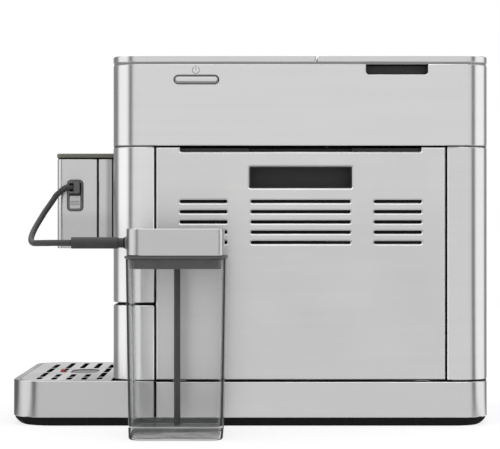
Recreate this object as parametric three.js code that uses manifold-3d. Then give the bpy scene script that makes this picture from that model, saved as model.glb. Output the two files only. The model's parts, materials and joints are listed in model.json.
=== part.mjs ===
// A free-standing bean-to-cup coffee machine with its milk container, in millimetres.
// The front is -Y, the side with the service door is +X and up is +Z.
import * as THREE from "three";
import { mergeVertices } from "three/addons/utils/BufferGeometryUtils.js";
import Module from "manifold-3d";

const wasm = await Module();
wasm.setup();

// Gaps and walls that many pieces share
const fit = 0.3; // gap between pieces that touch
const sheet = 2.5; // wall of the steel panels
const plastic = 2.5; // wall of the moulded pieces
const spare = 1; // how far a cutter runs past what it cuts

// Case
const caseWidth = 292;
const caseDepth = 378.5;
const caseCorner = 30; // radius of the upright corners
const trayCorner = 37; // radius of the tray's and the pan's front corners
const trayReach = 101.5; // drip tray in front of the case
const columnDepth = 42.5; // front and rear columns beside the door
const doorGap = 2;

// Heights, from the counter up
const footDrop = 0.5; // feet below the pan
const panHeight = 7.5;
const panInset = 1.2; // pan behind the plinth's face
const panTaper = 8; // pan drawn in at its underside
const plinthHeight = 36;
const panelSeam = 1.8;
const panelHeight = 232.4;
const shellSeam = 2.3;
const shellHeight = 81.5;
const lidSeam = 2;
const lidHeight = 6.7;
const lidSkin = 2; // top plate of both lids
const lidRimInset = 4; // lid's edge to the rim that it rests on
const lidRimWidth = 2.5;
const lidSplit = 9.3; // middle of the gap between the lids, in front of the bulkhead
const lidGap = 1.5;
const lidLean = 1.8; // the gap leans back by this over the lid's height

const side = caseWidth / 2;
const yTray = -(caseDepth + trayReach) / 2;
const yFront = yTray + trayReach;
const yBack = yFront + caseDepth;
const yColumn = yFront + columnDepth;
const yDoor = yColumn + doorGap;
const yRear = yBack - columnDepth;
const zPan = footDrop + panHeight;
const zPlinth = zPan + plinthHeight;
const zPanel = zPlinth + panelSeam;
const zPanelTop = zPanel + panelHeight;
const zShell = zPanelTop + shellSeam;
const zShellTop = zShell + shellHeight;
const zLid = zShellTop + lidSeam;
const zTop = zLid + lidHeight;

// Feet
const footRadius = 14;
const footHeight = 3.5;
const footInset = 36; // foot's centre from the sides and ends

// Drip tray, grate and grounds drawer
const trayRise = 1; // tray's rim above the plinth
const trayLip = 5.6; // flat rim around the grate
const lipHeight = 2;
const grateHeight = 3;
const grateGap = 0.8;
const ledgeWidth = 6.5; // inner ledge that carries the grate
const ledgeHeight = 2;
const basinWidth = 248; // basin inside the machine
const basinFromBulkhead = 24.5;
const slotWidth = 5;
const slotPitch = 15.3; // from one line of slots to the next
const slotStart = 14.5; // last line of slots in front of the case
const endDashes = [[-100, -44], [-37, 22], [29, 88], [95, 122]];
const floatDashes = [[-122, -40], [-34, 0.5], [51, 89], [95, 127]];
const ovalDashes = [[-122, -40], [51, 89], [95, 127]];
const ovalLength = 61;
const ovalWidth = 28;
const ovalDepth = 0.8;
const ovalX = 5.5;
const tabLine = 130; // short slot across the ends of the last two lines
const tabSlot = 2;
const floatX = 9;
const floatStem = 3.2;
const floatDisc = 9;
const floatDiscHeight = 8;
const floatGap = 1.1; // around the stem in the grate
const floatRise = 2.8; // stem above the grate
const groundsHeight = 74.7;
const groundsSeam = 2.8;
const groundsWidth = 236;
const groundsDepth = 150;
const groundsBoxHeight = 72;

const zRim = zPlinth + trayRise;
const zGrate = zRim - grateHeight;
const zBasin = zGrate - fit;
const zGrounds = zPanel + groundsHeight;
const zFascia = zGrounds + groundsSeam;

// Chassis and top deck
const frameWall = 3;
const shelfRise = 2; // front shelf above the foot of the fascia
const bulkheadFromFront = 214.5;
const rearShelfHeight = 176; // above the pan
const wasteWidth = 60; // hole in the front shelf for the spent coffee
const wasteDepth = 56;
const deckHeight = 4;

const inner = sheet + fit; // inset of what sits inside the panels
const zShelf = zFascia + shelfRise;
const zShelfTop = zShelf + frameWall;
const yBulkhead = yFront + bulkheadFromFront;
const yBulkheadBack = yBulkhead + frameWall;
const zRearShelf = zPan + rearShelfHeight;
const zRearShelfTop = zRearShelf + frameWall;
const zDeckTop = zShellTop - fit;
const zDeck = zDeckTop - deckHeight;

// Service door: finger notch, pocket and slots
const notchDrop = 4; // notch below the door's top edge
const notchCorner = 2;
const notchInset = 23.8; // notch from the door's ends
const troughDepth = 17;
const troughShallow = 6;
const pocketLength = 103;
const pocketHeight = 21.9;
const pocketDrop = 18.6; // door's top edge to the pocket
const pocketDepth = 15;
const pocketCorner = 1.5;
const ventHeight = 3.2;
const ventPitch = 10.25;
const ventRows = 5;
const ventDrop = 52; // door's top edge to the first row of slots
const ventInset = 23.7; // outer slots from the door's ends
const ventOuter = 47.6;
const ventMiddle = 99.9;
const tabWidth = 14;
const tabInset = 16; // hook from the door's ends
const tabDrop = 7; // hook below the door's edge
const tabRise = 6;
const tabWall = 3;

// Upper shell: power button, display, finger recess of the tank lid
const buttonLength = 44.7;
const buttonHeight = 8.7;
const buttonStart = 62.5; // case front to the button
const buttonDrop = 11.2; // shell's top edge to the button
const buttonGap = 0.5;
const buttonProud = 0.3;
const buttonFlange = 1.5;
const flangeWall = 2.2;
const displayWidth = 210;
const displayHeight = 56;
const displayRise = 12; // display above the shell's foot
const displayWall = 2;
const boardWidth = 180;
const boardHeight = 46;
const boardWall = 1.6;
const boardPost = 3;
const chipWidth = 18;
const chipHeight = 3;
const chipPitch = 55;
const recessLength = 61.9;
const recessHeight = 10.5;
const recessFromBack = 61.8;
const recessDepth = 12;
const recessCorner = 3;

// Spouts
const spoutWidth = 80;
const spoutDepth = 64.5;
const capDrop = 2.5; // top of the spouts below the fascia's top edge
const spoutRise = 53.4; // spout's foot above the foot of the fascia
const spoutWall = 2;
const spoutCorner = 7;
const spoutTravel = 52;
const spoutFrontDepth = 42; // front shell, back to the dark seam
const spoutSeam = 2;
const spoutRearDepth = 14;
const capHeight = 5;
const capOverhang = 0.5;
const carriageWall = 5.7; // dark plate between the spout and the case
const armWidth = 24;
const armDrop = 3.7; // arm below the cap
const armHeight = 37;
const slideWidth = 56;
const slideWall = 8;
const coreWidth = 36;
const coreInset = 6; // core below the cap and above the foot
const outletRadius = 6;
const outletTip = 4;
const outletPitch = 22;
const outletBar = 2;
const outletFromFront = 21;
const milkOutletRadius = 6;
const milkOutletFromFront = 33;

// Milk port in the side of the spouts, with its plug
const portWidth = 16.6;
const portHeight = 32.4;
const portFromFront = 10.8;
const portDrop = 22.3; // port below the cap
const portCorner = 4;
const portRim = 2;
const portProud = 1.2;
const portFloor = 3.4; // pocket's floor behind the spout's side
const tabPushWidth = 11.6;
const tabPushHeight = 13.8;
const tabPushProud = 1.8;
const tabTravel = 1.2;
const tabGrooves = 2;
const tabGroove = 1;
const tabGrooveDrop = 6.5; // tab's top to its first groove
const tabGroovePitch = 2.7;
const plugWidth = 11.4;
const plugHeight = 11.9;
const plugProud = 12.5;
const plugCorner = 1.5;
const barrelRadius = 3.2;
const barrelLevel = 8; // barrel from its root to its bend
const barrelReach = 6.5; // barrel past its bend
const barrelOut = 9; // barrel's axis from the spout's side
const barrelForward = 1.4; // barrel's root in front of the plug's middle
const barrelRise = 0.4; // barrel's root above the plug's middle
const barrelDip = 41; // degrees that the barrel's end points down
const barrelNotch = 8.6; // height of the notch that the barrel lies in

// Milk container
const jugGap = 40; // machine's side to the container
const jugDepth = 105;
const jugWidth = 93.5;
const jugTaper = 5; // narrower at the foot
const jugCorner = 12;
const jugWall = 3;
const jugBase = 8;
const jugHeight = 169.2;
const jugFromFront = 69; // case front to the container's middle
const jugEdge = 2.5; // bevel around the foot
const bandHeight = 2.2; // flange on the glass
const bandProud = 1.1;
const lipDepth = 9.5; // band's lip inside the glass
const lipWall = 2;
const jugLidHeight = 25.4;
const jugLidWidth = 91;
const jugLidBack = 0.8; // lid's middle in front of the band's middle
const jugLidWall = 2;
const jugLidFront = 17; // radius of the lid's front corners
const jugLidRear = 8;
const tubeRadius = 3.1;
const tubeBore = 2;
const tubeRise = 9.5; // tube's lower end above the counter
const connectorRadius = 5.5;
const connectorLength = 44.8;
const connectorOut = 10; // lid's front to the thick part
const connectorDrop = 13.6; // lid's top to the connector's axis
const noseRadius = 4.6;
const hoseDiameter = 6;
const hoseSides = 10;
const hoseSteps = 20;

// Bean hopper, grinder and its dial
const hopperFromSide = 66;
const hopperFromGearbox = 10;
const hopperDepth = 124;
const hopperCorner = 14;
const hopperFromFront = 117.5; // case front to the hopper's middle
const hopperWindow = 5; // hopper to the edge of the window in the lid
const hopperFlange = 2;
const hopperFlangeHeight = 2;
const funnelHeight = 43;
const hopperHeight = 76;
const hopperLidWall = 4;
const throatRadius = 22;
const throatWidth = 60;
const dialFromHopper = 20; // hopper's side to the dial's axis
const dialRadius = 14;
const dialHeight = 4;
const dialShaft = 4;
const dialShaftLength = 12;
const dialGrooves = 12;
const grinderRadius = 38;
const grinderHeight = 85;
const grinderFloor = 18;
const burrChamber = 30;
const burrRadius = 26;
const burrTip = 9;
const burrHeight = 34;
const burrShaft = 4;
const runningGap = 0.4;
const shaftLength = 26;
const chuteWidth = 16;
const chuteHeight = 14;
const chuteLength = 63; // grinder's axis to the chute's mouth
const motorRadius = 31;

// Brew unit
const brewFromSide = 72;
const brewFromBulkhead = 70;
const chamberRadius = 34;
const chamberBore = 28;
const chamberRise = 14; // chamber above the shelf
const chamberHeight = 60;
const brewPlate = 8;
const brewPlateWidth = 88;
const brewPlateBack = 46; // brew axis to the plate
const gearboxRoom = 22.8; // gearbox to the deck
const pistonHeight = 10;
const pistonRest = 6; // piston above the chamber
const pistonTravel = 36;
const nutRadius = 12;
const nutHeight = 46;
const spindleRadius = 5;
const gearboxWidth = 44;
const gearboxHeight = 34;
const socketDepth = 16;

// Water side
const tankWidth = 188;
const tankFromSide = 18;
const tankFromBulkhead = 4;
const tankFromRear = 12.5; // tank to the rear panel
const tankCorner = 14;
const tankFlange = 6;
const tankFlangeHeight = 2;
const tankRim = 4.4; // rim above the flange, under the lid
const valveRadius = 9.5;
const valveGap = 0.5;
const valveDrop = 8;
const seatRadius = 22;
const seatHeight = 2.7;
const seatStub = 14;
const seatStubDrop = 15;
const nippleRadius = 5;
const nippleLength = 6;
const pumpRadius = 22;
const pumpLength = 70;
const pumpRise = 34; // pump's axis above the pan
const pumpFootWidth = 34;
const heaterFromSide = 15;
const heaterDepth = 60;
const heaterHeight = 58;
const heaterRise = 12;
const heaterFromPump = 50; // pump's end to the heater
const heaterNipple = 16; // nipple above the pump's axis
const legWidth = 10;
const pipeRadius = 5;
const powerBoardFromInlet = 26.2;
const powerBoardHeight = 90;
const powerBoardRise = 54; // above the pan
const powerBoardGap = 13; // board to the rear panel
const powerBoardInset = 6; // board to the round corner
const powerParts = [[30, 26, 18], [80, 34, 12], [130, 20, 16]]; // place, width and depth of each
const inletWidth = 27.6;
const inletHeight = 20;
const inletDepth = 24;
const inletPocket = 16;
const inletWall = 2;
const pinPlaces = [[-7, -2], [0, 3], [7, -2]]; // from the inlet's middle
const pinWall = 2;
const pinHeight = 4;
const pinDepth = 7; // pins' ends below the rim
const inletFromCorner = 16; // inlet's middle to the round corner
const inletRise = 14; // above the foot of the rear panel
const rearVentRows = 6;
const rearVentLength = 120;
const rearVentRise = 92;

// Closed meshes and solids
const mergeDistance = 1e-4;

function solidOf(geometry) {
  const bare = geometry.index ? geometry.toNonIndexed() : geometry.clone();
  bare.deleteAttribute("normal");
  bare.deleteAttribute("uv");
  const merged = mergeVertices(bare, mergeDistance);
  const mesh = new wasm.Mesh({
    numProp: 3,
    vertProperties: merged.attributes.position.array,
    triVerts: new Uint32Array(merged.index.array),
  });
  return new wasm.Manifold(mesh);
}

function geometryOf(solid) {
  const mesh = solid.getMesh();
  const points = new Float32Array(mesh.numVert * 3);
  for (let i = 0; i < mesh.numVert; i++) {
    const start = i * mesh.numProp;
    points.set(mesh.vertProperties.subarray(start, start + 3), i * 3);
  }
  const geometry = new THREE.BufferGeometry();
  geometry.setAttribute("position", new THREE.BufferAttribute(points, 3));
  geometry.setIndex(new THREE.BufferAttribute(new Uint32Array(mesh.triVerts), 1));
  geometry.computeVertexNormals();
  return geometry;
}

const grow = ([low, high], by = spare) => [low - by, high + by];
const about = (middle, length) => [middle - length / 2, middle + length / 2];
const upTo = (length) => [0, length];

function block([x0, x1], [y0, y1], [z0, z1]) {
  const geometry = new THREE.BoxGeometry(x1 - x0, y1 - y0, z1 - z0);
  return solidOf(geometry.translate((x0 + x1) / 2, (y0 + y1) / 2, (z0 + z1) / 2));
}

// Rectangle with round corners; corners is one radius, or the four from the low corner round
function rounded([x0, x1], [y0, y1], corners) {
  const [a, b, c, d] = Array.isArray(corners) ? corners : Array(4).fill(corners);
  const quarter = Math.PI / 2;
  const shape = new THREE.Shape();
  shape.moveTo(x0 + a, y0);
  shape.lineTo(x1 - b, y0);
  if (b > 0) shape.absarc(x1 - b, y0 + b, b, -quarter, 0);
  shape.lineTo(x1, y1 - c);
  if (c > 0) shape.absarc(x1 - c, y1 - c, c, 0, quarter);
  shape.lineTo(x0 + d, y1);
  if (d > 0) shape.absarc(x0 + d, y1 - d, d, quarter, 2 * quarter);
  shape.lineTo(x0, y0 + a);
  if (a > 0) shape.absarc(x0 + a, y0 + a, a, 2 * quarter, 3 * quarter);
  return shape;
}

function polygon(points) {
  return new THREE.Shape(points.map(([x, y]) => new THREE.Vector2(x, y)));
}

function extruded(shape, length, steps) {
  return new THREE.ExtrudeGeometry(shape, { depth: length, bevelEnabled: false, curveSegments: steps });
}

// Solids extruded along Z from an outline in X and Y, along X from Y and Z, along Y from X and Z
function upright(shape, [z0, z1], steps = 6) {
  return solidOf(extruded(shape, z1 - z0, steps).translate(0, 0, z0));
}

function across(shape, [x0, x1], steps = 2) {
  const turn = new THREE.Matrix4().set(0, 0, 1, x0, 1, 0, 0, 0, 0, 1, 0, 0, 0, 0, 0, 1);
  return solidOf(extruded(shape, x1 - x0, steps).applyMatrix4(turn));
}

function backward(shape, [y0, y1], steps = 2) {
  return solidOf(extruded(shape, y1 - y0, steps).rotateX(Math.PI / 2).translate(0, y1, 0));
}

function rod(radius, [z0, z1], [x, y] = [0, 0], sides = 24, topRadius = radius) {
  const geometry = new THREE.CylinderGeometry(topRadius, radius, z1 - z0, sides);
  return solidOf(geometry.rotateX(Math.PI / 2).translate(x, y, (z0 + z1) / 2));
}

function rodAlongY(radius, [y0, y1], [x, z], sides = 20) {
  const geometry = new THREE.CylinderGeometry(radius, radius, y1 - y0, sides);
  return solidOf(geometry.translate(x, (y0 + y1) / 2, z));
}

function rodAlongX(radius, [x0, x1], [y, z], sides = 20) {
  const geometry = new THREE.CylinderGeometry(radius, radius, x1 - x0, sides);
  return solidOf(geometry.rotateZ(Math.PI / 2).translate((x0 + x1) / 2, y, z));
}

// A slot with round ends, as an outline from one end to the other
function slotOutline([a0, a1], [b0, b1]) {
  return rounded([a0, a1], [b0, b1], Math.min(b1 - b0, a1 - a0) / 2 - 0.01);
}

// Level outline of a lofted piece: a rectangle with round corners as a ring of points
function ring([x0, x1], [y0, y1], front, z, cornerSteps = 4, rear = front) {
  const corners = [[x1 - front, y0 + front, front], [x1 - rear, y1 - rear, rear],
    [x0 + rear, y1 - rear, rear], [x0 + front, y0 + front, front]];
  return corners.flatMap(([x, y, radius], corner) =>
    Array.from({ length: cornerSteps + 1 }, (_, step) => {
      const angle = (corner - 1 + step / cornerSteps) * Math.PI / 2;
      return new THREE.Vector3(x + radius * Math.cos(angle), y + radius * Math.sin(angle), z);
    }));
}

// Closed solid through level outlines that go up and have the same count of points
function loft(levels) {
  const points = [];
  const face = (...corners) => corners.forEach((p) => points.push(p.x, p.y, p.z));
  const count = levels[0].length;
  for (let level = 0; level + 1 < levels.length; level++) {
    const low = levels[level];
    const high = levels[level + 1];
    for (let i = 0; i < count; i++) {
      const next = (i + 1) % count;
      face(low[i], low[next], high[next]);
      face(low[i], high[next], high[i]);
    }
  }
  const top = levels[levels.length - 1];
  for (let i = 1; i + 1 < count; i++) {
    face(levels[0][0], levels[0][i + 1], levels[0][i]);
    face(top[0], top[i], top[i + 1]);
  }
  const geometry = new THREE.BufferGeometry();
  geometry.setAttribute("position", new THREE.Float32BufferAttribute(points, 3));
  return solidOf(geometry);
}

function tubeAlong(points, radius, sides, steps) {
  const curve = new THREE.CatmullRomCurve3(points);
  const section = Array.from({ length: sides }, (_, i) => {
    const angle = 2 * Math.PI * i / sides;
    return [radius * Math.cos(angle), radius * Math.sin(angle)];
  });
  const settings = { steps, extrudePath: curve, bevelEnabled: false };
  return solidOf(new THREE.ExtrudeGeometry(polygon(section), settings));
}

const joined = (...solids) => solids.reduce((all, next) => all.add(next));
const cutBy = (solid, ...cutters) => cutters.reduce((left, cutter) => left.subtract(cutter), solid);

// Outline of the case drawn in by inset, and of the whole base with the tray
function caseOutline(inset) {
  return rounded(grow([-side, side], -inset), grow([yFront, yBack], -inset), caseCorner - inset);
}

function baseOutline(inset) {
  const front = trayCorner - inset;
  const rear = caseCorner - inset;
  return rounded(grow([-side, side], -inset), grow([yTray, yBack], -inset), [front, front, rear, rear]);
}

const wide = grow([-side, side]);

// Wall of the case between two heights, over a stretch of its depth
function caseWall(z, y, wall = sheet) {
  const whole = upright(caseOutline(0), z).subtract(upright(caseOutline(wall), grow(z)));
  return y ? whole.intersect(block(wide, y, grow(z))) : whole;
}

// Materials
function finish(color, roughness, metalness) {
  return new THREE.MeshStandardMaterial({ color, roughness, metalness });
}

const steel = finish(0xc9c9c8, 0.35, 1);
const steelDark = finish(0x9b9c9a, 0.4, 1);
const black = finish(0x1c1c1d, 0.6, 0);
const darkGrey = finish(0x3a3b3a, 0.5, 0);
const capOlive = finish(0x55564c, 0.45, 0);
const rubber = finish(0x222222, 0.9, 0);
const hoseGrey = finish(0x434343, 0.6, 0);
const clear = finish(0xdfe3e4, 0.1, 0);
const smoked = finish(0x4b4e50, 0.2, 0);
const red = finish(0xb02318, 0.4, 0);
const white = finish(0xe8e8e2, 0.5, 0);
const green = finish(0x2f5b3a, 0.6, 0);
const brass = finish(0xb08d4f, 0.35, 1);

const coffeeMachine = new THREE.Group();
const machine = new THREE.Group();
machine.position.x = -(jugGap + jugDepth) / 2;
coffeeMachine.add(machine);

function addPiece(name, solid, material, parent = machine) {
  const mesh = new THREE.Mesh(geometryOf(solid), material);
  mesh.name = name;
  parent.add(mesh);
  return mesh;
}

function subAssembly(x, y, z, parent = machine) {
  const group = new THREE.Group();
  group.position.set(x, y, z);
  parent.add(group);
  return group;
}

// Base: pan, four feet and the steel plinth
function makeBase() {
  const pan = (inset, z) => ring(
    grow([-side, side], -inset), grow([yTray, yBack], -inset), trayCorner - inset, z, 8, caseCorner - inset);
  let basePan = loft([pan(panInset + panTaper, footDrop), pan(panInset, zPan)]);
  const places = {
    foot_front_left: [-side + footInset, yTray + footInset],
    foot_front_right: [side - footInset, yTray + footInset],
    foot_rear_left: [-side + footInset, yBack - footInset],
    foot_rear_right: [side - footInset, yBack - footInset],
  };
  for (const [name, place] of Object.entries(places)) {
    basePan = basePan.subtract(rod(footRadius + fit, [footDrop - spare, footHeight + fit], place));
    const group = subAssembly(place[0], place[1], 0);
    addPiece(name, rod(footRadius, upTo(footHeight)), rubber, group);
  }
  addPiece("base_pan", basePan, black);
  addPiece("base_plinth", caseWall([zPan + fit, zPlinth], [yDoor, yBack + spare]), steel);
}

// Drip tray that slides out with the drawer for the spent coffee
function makeTray() {
  const front = yTray - spare;
  const z = [zPan + fit, zRim];
  const skirtWall = upright(baseOutline(0), z).subtract(upright(baseOutline(sheet), grow(z)));
  const lipZ = [zRim - lipHeight, zRim];
  const lipRing = upright(baseOutline(0), lipZ).subtract(upright(baseOutline(trayLip), grow(lipZ)));
  const skirt = joined(
    skirtWall.intersect(block(wide, [front, yColumn], grow(z))),
    lipRing.intersect(block(wide, [front, yFront], grow(lipZ))),
  );
  addPiece("tray_skirt", skirt, steel);

  const floor = zPan + fit;
  const rearWidth = [-basinWidth / 2, basinWidth / 2];
  const frontPart = (inset, heights) =>
    upright(baseOutline(inner + inset), heights)
      .intersect(block(wide, [front, yColumn - inset], grow(heights)));
  const rearPart = (inset, heights) =>
    block(grow(rearWidth, -inset),
      [yColumn - plastic - spare, yBulkhead - basinFromBulkhead - inset], heights);
  const cavity = [floor + plastic, zBasin + spare];
  const basin = cutBy(
    joined(frontPart(0, [floor, zBasin]), rearPart(0, [floor, zBasin])),
    frontPart(plastic, cavity), rearPart(plastic, cavity));
  const ledgeZ = [zBasin - ledgeHeight, zBasin];
  const ledge = cutBy(
    upright(baseOutline(inner), ledgeZ).intersect(block(wide, [front, yFront], grow(ledgeZ))),
    upright(baseOutline(inner + ledgeWidth), grow(ledgeZ)));
  addPiece("drip_tray", joined(basin, ledge), black);

  const grounds = [zPanel, zGrounds];
  addPiece("grounds_front", caseWall(grounds, [yFront - spare, yColumn]), steel);
  const boxX = [-groundsWidth / 2, groundsWidth / 2];
  const boxY = [yFront + inner, yFront + inner + groundsDepth];
  const boxZ = [zBasin + fit, zBasin + fit + groundsBoxHeight];
  const boxHollow = [boxZ[0] + plastic, boxZ[1] + spare];
  const boxPart = (inset, heights) => block(grow(boxX, -inset), grow(boxY, -inset), heights)
    .intersect(upright(caseOutline(inner + inset), heights));
  const box = boxPart(0, boxZ).subtract(boxPart(plastic, boxHollow));
  addPiece("grounds_container", box, darkGrey);
}

// Grate with its lines of slots, and the float that shows when the tray is full
function makeGrate() {
  const z = [zGrate, zRim];
  const line = (index) => yFront - slotStart - index * slotPitch;
  const lines = [endDashes, ovalDashes, ovalDashes, floatDashes, endDashes];
  const slots = lines.flatMap((dashes, index) =>
    dashes.map((x) => upright(slotOutline(x, about(line(index), slotWidth)), grow(z), 1)));
  const floatY = line(3);
  const tab = block(about(tabLine, tabSlot), [line(1), line(0)], grow(z));
  const ovalY = (line(1) + line(2)) / 2;
  const oval = upright(
    slotOutline(about(ovalX, ovalLength), about(ovalY, ovalWidth)), [zRim - ovalDepth, zRim + spare], 4);
  const edge = trayLip + grateGap;
  const plate = upright(baseOutline(edge), z)
    .intersect(block(wide, [yTray - spare, yFront - grateGap], grow(z)));
  const hole = rod(floatStem + floatGap, grow(z), [floatX, floatY], 16);
  addPiece("drip_grate", cutBy(plate, ...slots, tab, oval, hole), steel);

  const low = plastic + fit;
  const group = subAssembly(floatX, floatY, zPan + fit);
  const stemTop = zRim + floatRise - zPan - fit;
  const stem = rod(floatStem, [low, stemTop - floatStem / 2], [0, 0], 16);
  const dome = rod(floatStem, [stemTop - floatStem / 2, stemTop], [0, 0], 16, floatStem / 2);
  addPiece("tray_float", joined(rod(floatDisc, [low, low + floatDiscHeight]), stem, dome), red, group);
}

// Inner frame: two shelves on a bulkhead that stands on the pan and carries the deck
function makeChassis() {
  const inside = upright(caseOutline(inner), [zPan, zShellTop]);
  const shelfY = [yFront, yBulkheadBack];
  const shelf = inside.intersect(block(wide, shelfY, [zShelf, zShelfTop]));
  const wallY = [yBulkhead, yBulkheadBack];
  const behindDoor = block(
    [side - inner - troughDepth - spare, side], grow(wallY), [zPlinth - 2 * tabDrop, zShell + spare]);
  const bulkhead = inside.intersect(block(wide, wallY, [zPan + fit, zDeck - fit])).subtract(behindDoor);
  const rearShelf = inside.intersect(
    block(wide, [yBulkhead, yBack], [zRearShelf, zRearShelfTop]));
  const brew = brewPlace();
  const waste = block(about(brew.x, wasteWidth), about(brew.y, wasteDepth), grow([zShelf, zShelfTop]));
  const valve = tankPlace();
  const stubHole = rod(seatStub + fit, grow([zRearShelf, zRearShelfTop]), [valve.x, valve.y]);
  const cup = fingerCupRoom([zShellTop - recessHeight - plastic - fit, zShellTop]);
  addPiece("chassis", cutBy(joined(shelf, bulkhead, rearShelf), waste, stubHole, cup), black);
}

function hopperPlace() {
  const x = [-side + hopperFromSide, brewPlace().x - gearboxWidth / 2 - hopperFromGearbox];
  const middle = [(x[0] + x[1]) / 2, yFront + hopperFromFront];
  return { x, y: about(middle[1], hopperDepth), middle };
}

function dialPlace() {
  return [hopperPlace().x[1] + dialFromHopper, yFront + hopperFromFront];
}

// Window in the front lid, over the hopper and the dial
function windowPlace() {
  const half = dialPlace()[0] + dialRadius + hopperWindow + 4;
  return { x: [-half, half], y: grow(hopperPlace().y, hopperWindow) };
}

function tankPlace() {
  const x = [-side + tankFromSide, -side + tankFromSide + tankWidth];
  const y = [yBulkheadBack + tankFromBulkhead, yBack - sheet - tankFromRear];
  return { rangeX: x, rangeY: y, x: (x[0] + x[1]) / 2, y: (y[0] + y[1]) / 2 };
}

function brewPlace() {
  return { x: side - brewFromSide, y: yBulkhead - brewFromBulkhead };
}

function recessPlace() {
  return [yBack - recessFromBack - recessLength, yBack - recessFromBack];
}

// Room for the cup of the finger recess, in the deck and the frame
function fingerCupRoom(z) {
  const x = [side - inner - recessDepth - plastic - fit, side];
  return block(x, grow(recessPlace(), plastic + fit), z);
}

// Deck under the lids, with openings for the hopper, the dial and the water tank
function makeDeck() {
  const z = [zDeck, zDeckTop];
  const hopper = hopperPlace();
  const tank = tankPlace();
  const deck = cutBy(
    upright(caseOutline(inner), z),
    upright(rounded(grow(hopper.x), grow(hopper.y), hopperCorner + spare), grow(z)),
    rod(dialShaft + runningGap, grow(z), dialPlace(), 16),
    upright(rounded(grow(tank.rangeX), grow(tank.rangeY), tankCorner + spare), grow(z)),
    fingerCupRoom(grow(z)));
  addPiece("top_deck", deck, black);
}

// Spout's height, and its arm through the fascia, above the spout's foot
function spoutHeights() {
  const top = zPanelTop - capDrop - capHeight - (zFascia + spoutRise);
  return { top, arm: [top - armDrop - armHeight, top - armDrop] };
}

function inletMiddle() {
  return side - caseCorner - inletFromCorner;
}

// Steel panels below the seam
function makePanels() {
  const panel = [zPanel, zPanelTop];
  const slotX = about(0, armWidth + 2 * spare);
  const [armLow, armTop] = spoutHeights().arm.map((z) => z + zFascia + spoutRise);
  const armZ = [armLow - spoutTravel - spare, armTop + spare];
  const fascia = caseWall([zFascia, zPanelTop], [yFront - spare, yColumn])
    .subtract(block(slotX, about(yFront, 4 * sheet), armZ));
  addPiece("front_fascia", fascia, steel);

  const leftPanel = block([-side, -side + sheet], [yDoor, yRear - doorGap], panel);
  addPiece("left_panel", leftPanel, steel);

  const inletX = inletMiddle();
  const inletZ = about(zPanel + inletRise + inletHeight / 2, inletHeight);
  const inletHole = backward(rounded(about(inletX, inletWidth), inletZ, 2), about(yBack, 4 * sheet));
  const vents = Array.from({ length: rearVentRows }, (_, row) => {
    const middle = zPanel + rearVentRise + row * ventPitch;
    const outline = slotOutline(about(0, rearVentLength), about(middle, ventHeight));
    return backward(outline, about(yBack, 4 * sheet));
  });
  const rear = cutBy(caseWall(panel, [yRear, yBack + spare]), inletHole, ...vents);
  addPiece("rear_shell", rear, steel);

  const body = grow(about(inletX, inletWidth), -fit);
  const bodyZ = grow(inletZ, -fit);
  const bodyY = [yBack - inletDepth, yBack - fit];
  const pocket = backward(
    rounded(grow(body, -inletWall), grow(bodyZ, -inletWall), 3), [bodyY[1] - inletPocket, yBack]);
  const pinY = [bodyY[0] + spare, bodyY[1] - pinDepth];
  const pins = pinPlaces.map(([x, rise]) =>
    block(about(inletX + x, pinWall), pinY, about((bodyZ[0] + bodyZ[1]) / 2 + rise, pinHeight)));
  const shell = backward(rounded(body, bodyZ, 2), bodyY).subtract(pocket);
  addPiece("mains_inlet", joined(shell, ...pins), black);
}

// Service door: a steel panel with a notch, a pocket and slots, hooked behind the plinth
function makeDoor() {
  const doorY = [yDoor, yRear - doorGap];
  const middle = (doorY[0] + doorY[1]) / 2;
  const face = [side - sheet, side];
  const through = grow(face);
  const notchY = grow(doorY, -notchInset);
  const notchZ = [zPanelTop - notchDrop, zPanelTop + spare];
  const notch = across(rounded(notchY, notchZ, [notchCorner, notchCorner, 0, 0]), through);
  const pocketZ = [zPanelTop - pocketDrop - pocketHeight, zPanelTop - pocketDrop];
  const pocketY = about(middle, pocketLength);
  const pocketHole = across(rounded(pocketY, pocketZ, pocketCorner), through);
  const ventSpans = [[doorY[0] + ventInset, doorY[0] + ventInset + ventOuter],
    about(middle, ventMiddle), [doorY[1] - ventInset - ventOuter, doorY[1] - ventInset]];
  const vents = ventSpans.flatMap((span) =>
    Array.from({ length: ventRows }, (_, row) => {
      const top = zPanelTop - ventDrop - row * ventPitch;
      return across(slotOutline(span, [top - ventHeight, top]), through);
    }));
  const hooks = [doorY[0] + tabInset, doorY[1] - tabInset - tabWidth].map((from) => {
    const hookY = [from, from + tabWidth];
    const hookX = [side - inner - tabWall, side - inner];
    return joined(
      block(hookX, hookY, [zPlinth - tabDrop, zPanel + tabRise]),
      block([side - inner - spare, side - sheet + spare], hookY, [zPanel + fit, zPanel + tabRise]));
  });
  const panel = cutBy(block(face, doorY, [zPanel, zPanelTop]), notch, pocketHole, ...vents);
  addPiece("service_door", joined(panel, ...hooks), steel);

  const back = side - inner;
  const troughZ = [pocketZ[1] + plastic + fit, zPanelTop];
  const troughY = grow(notchY, plastic);
  const openZ = [troughZ[0] + plastic, zPanelTop + spare];
  const trough = cutBy(
    joined(
      block([back - troughShallow - plastic, back], troughY, troughZ),
      block([back - troughDepth, back], grow(pocketY, plastic), troughZ)),
    block([back - troughShallow, back + spare], grow(troughY, -plastic), openZ),
    block([back - troughDepth + plastic, back + spare], pocketY, openZ));
  addPiece("door_grip", trough, darkGrey);

  const cup = cutBy(
    joined(
      block([back - pocketDepth, back], grow(pocketY, plastic), grow(pocketZ, plastic)),
      across(rounded(grow(pocketY, -fit), grow(pocketZ, -fit), pocketCorner), [back - spare, side - fit])),
    across(rounded(grow(pocketY, -plastic / 2), grow(pocketZ, -plastic / 2), pocketCorner),
      [back - pocketDepth + plastic, side + spare]));
  addPiece("door_pocket", cup, darkGrey);
}

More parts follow.
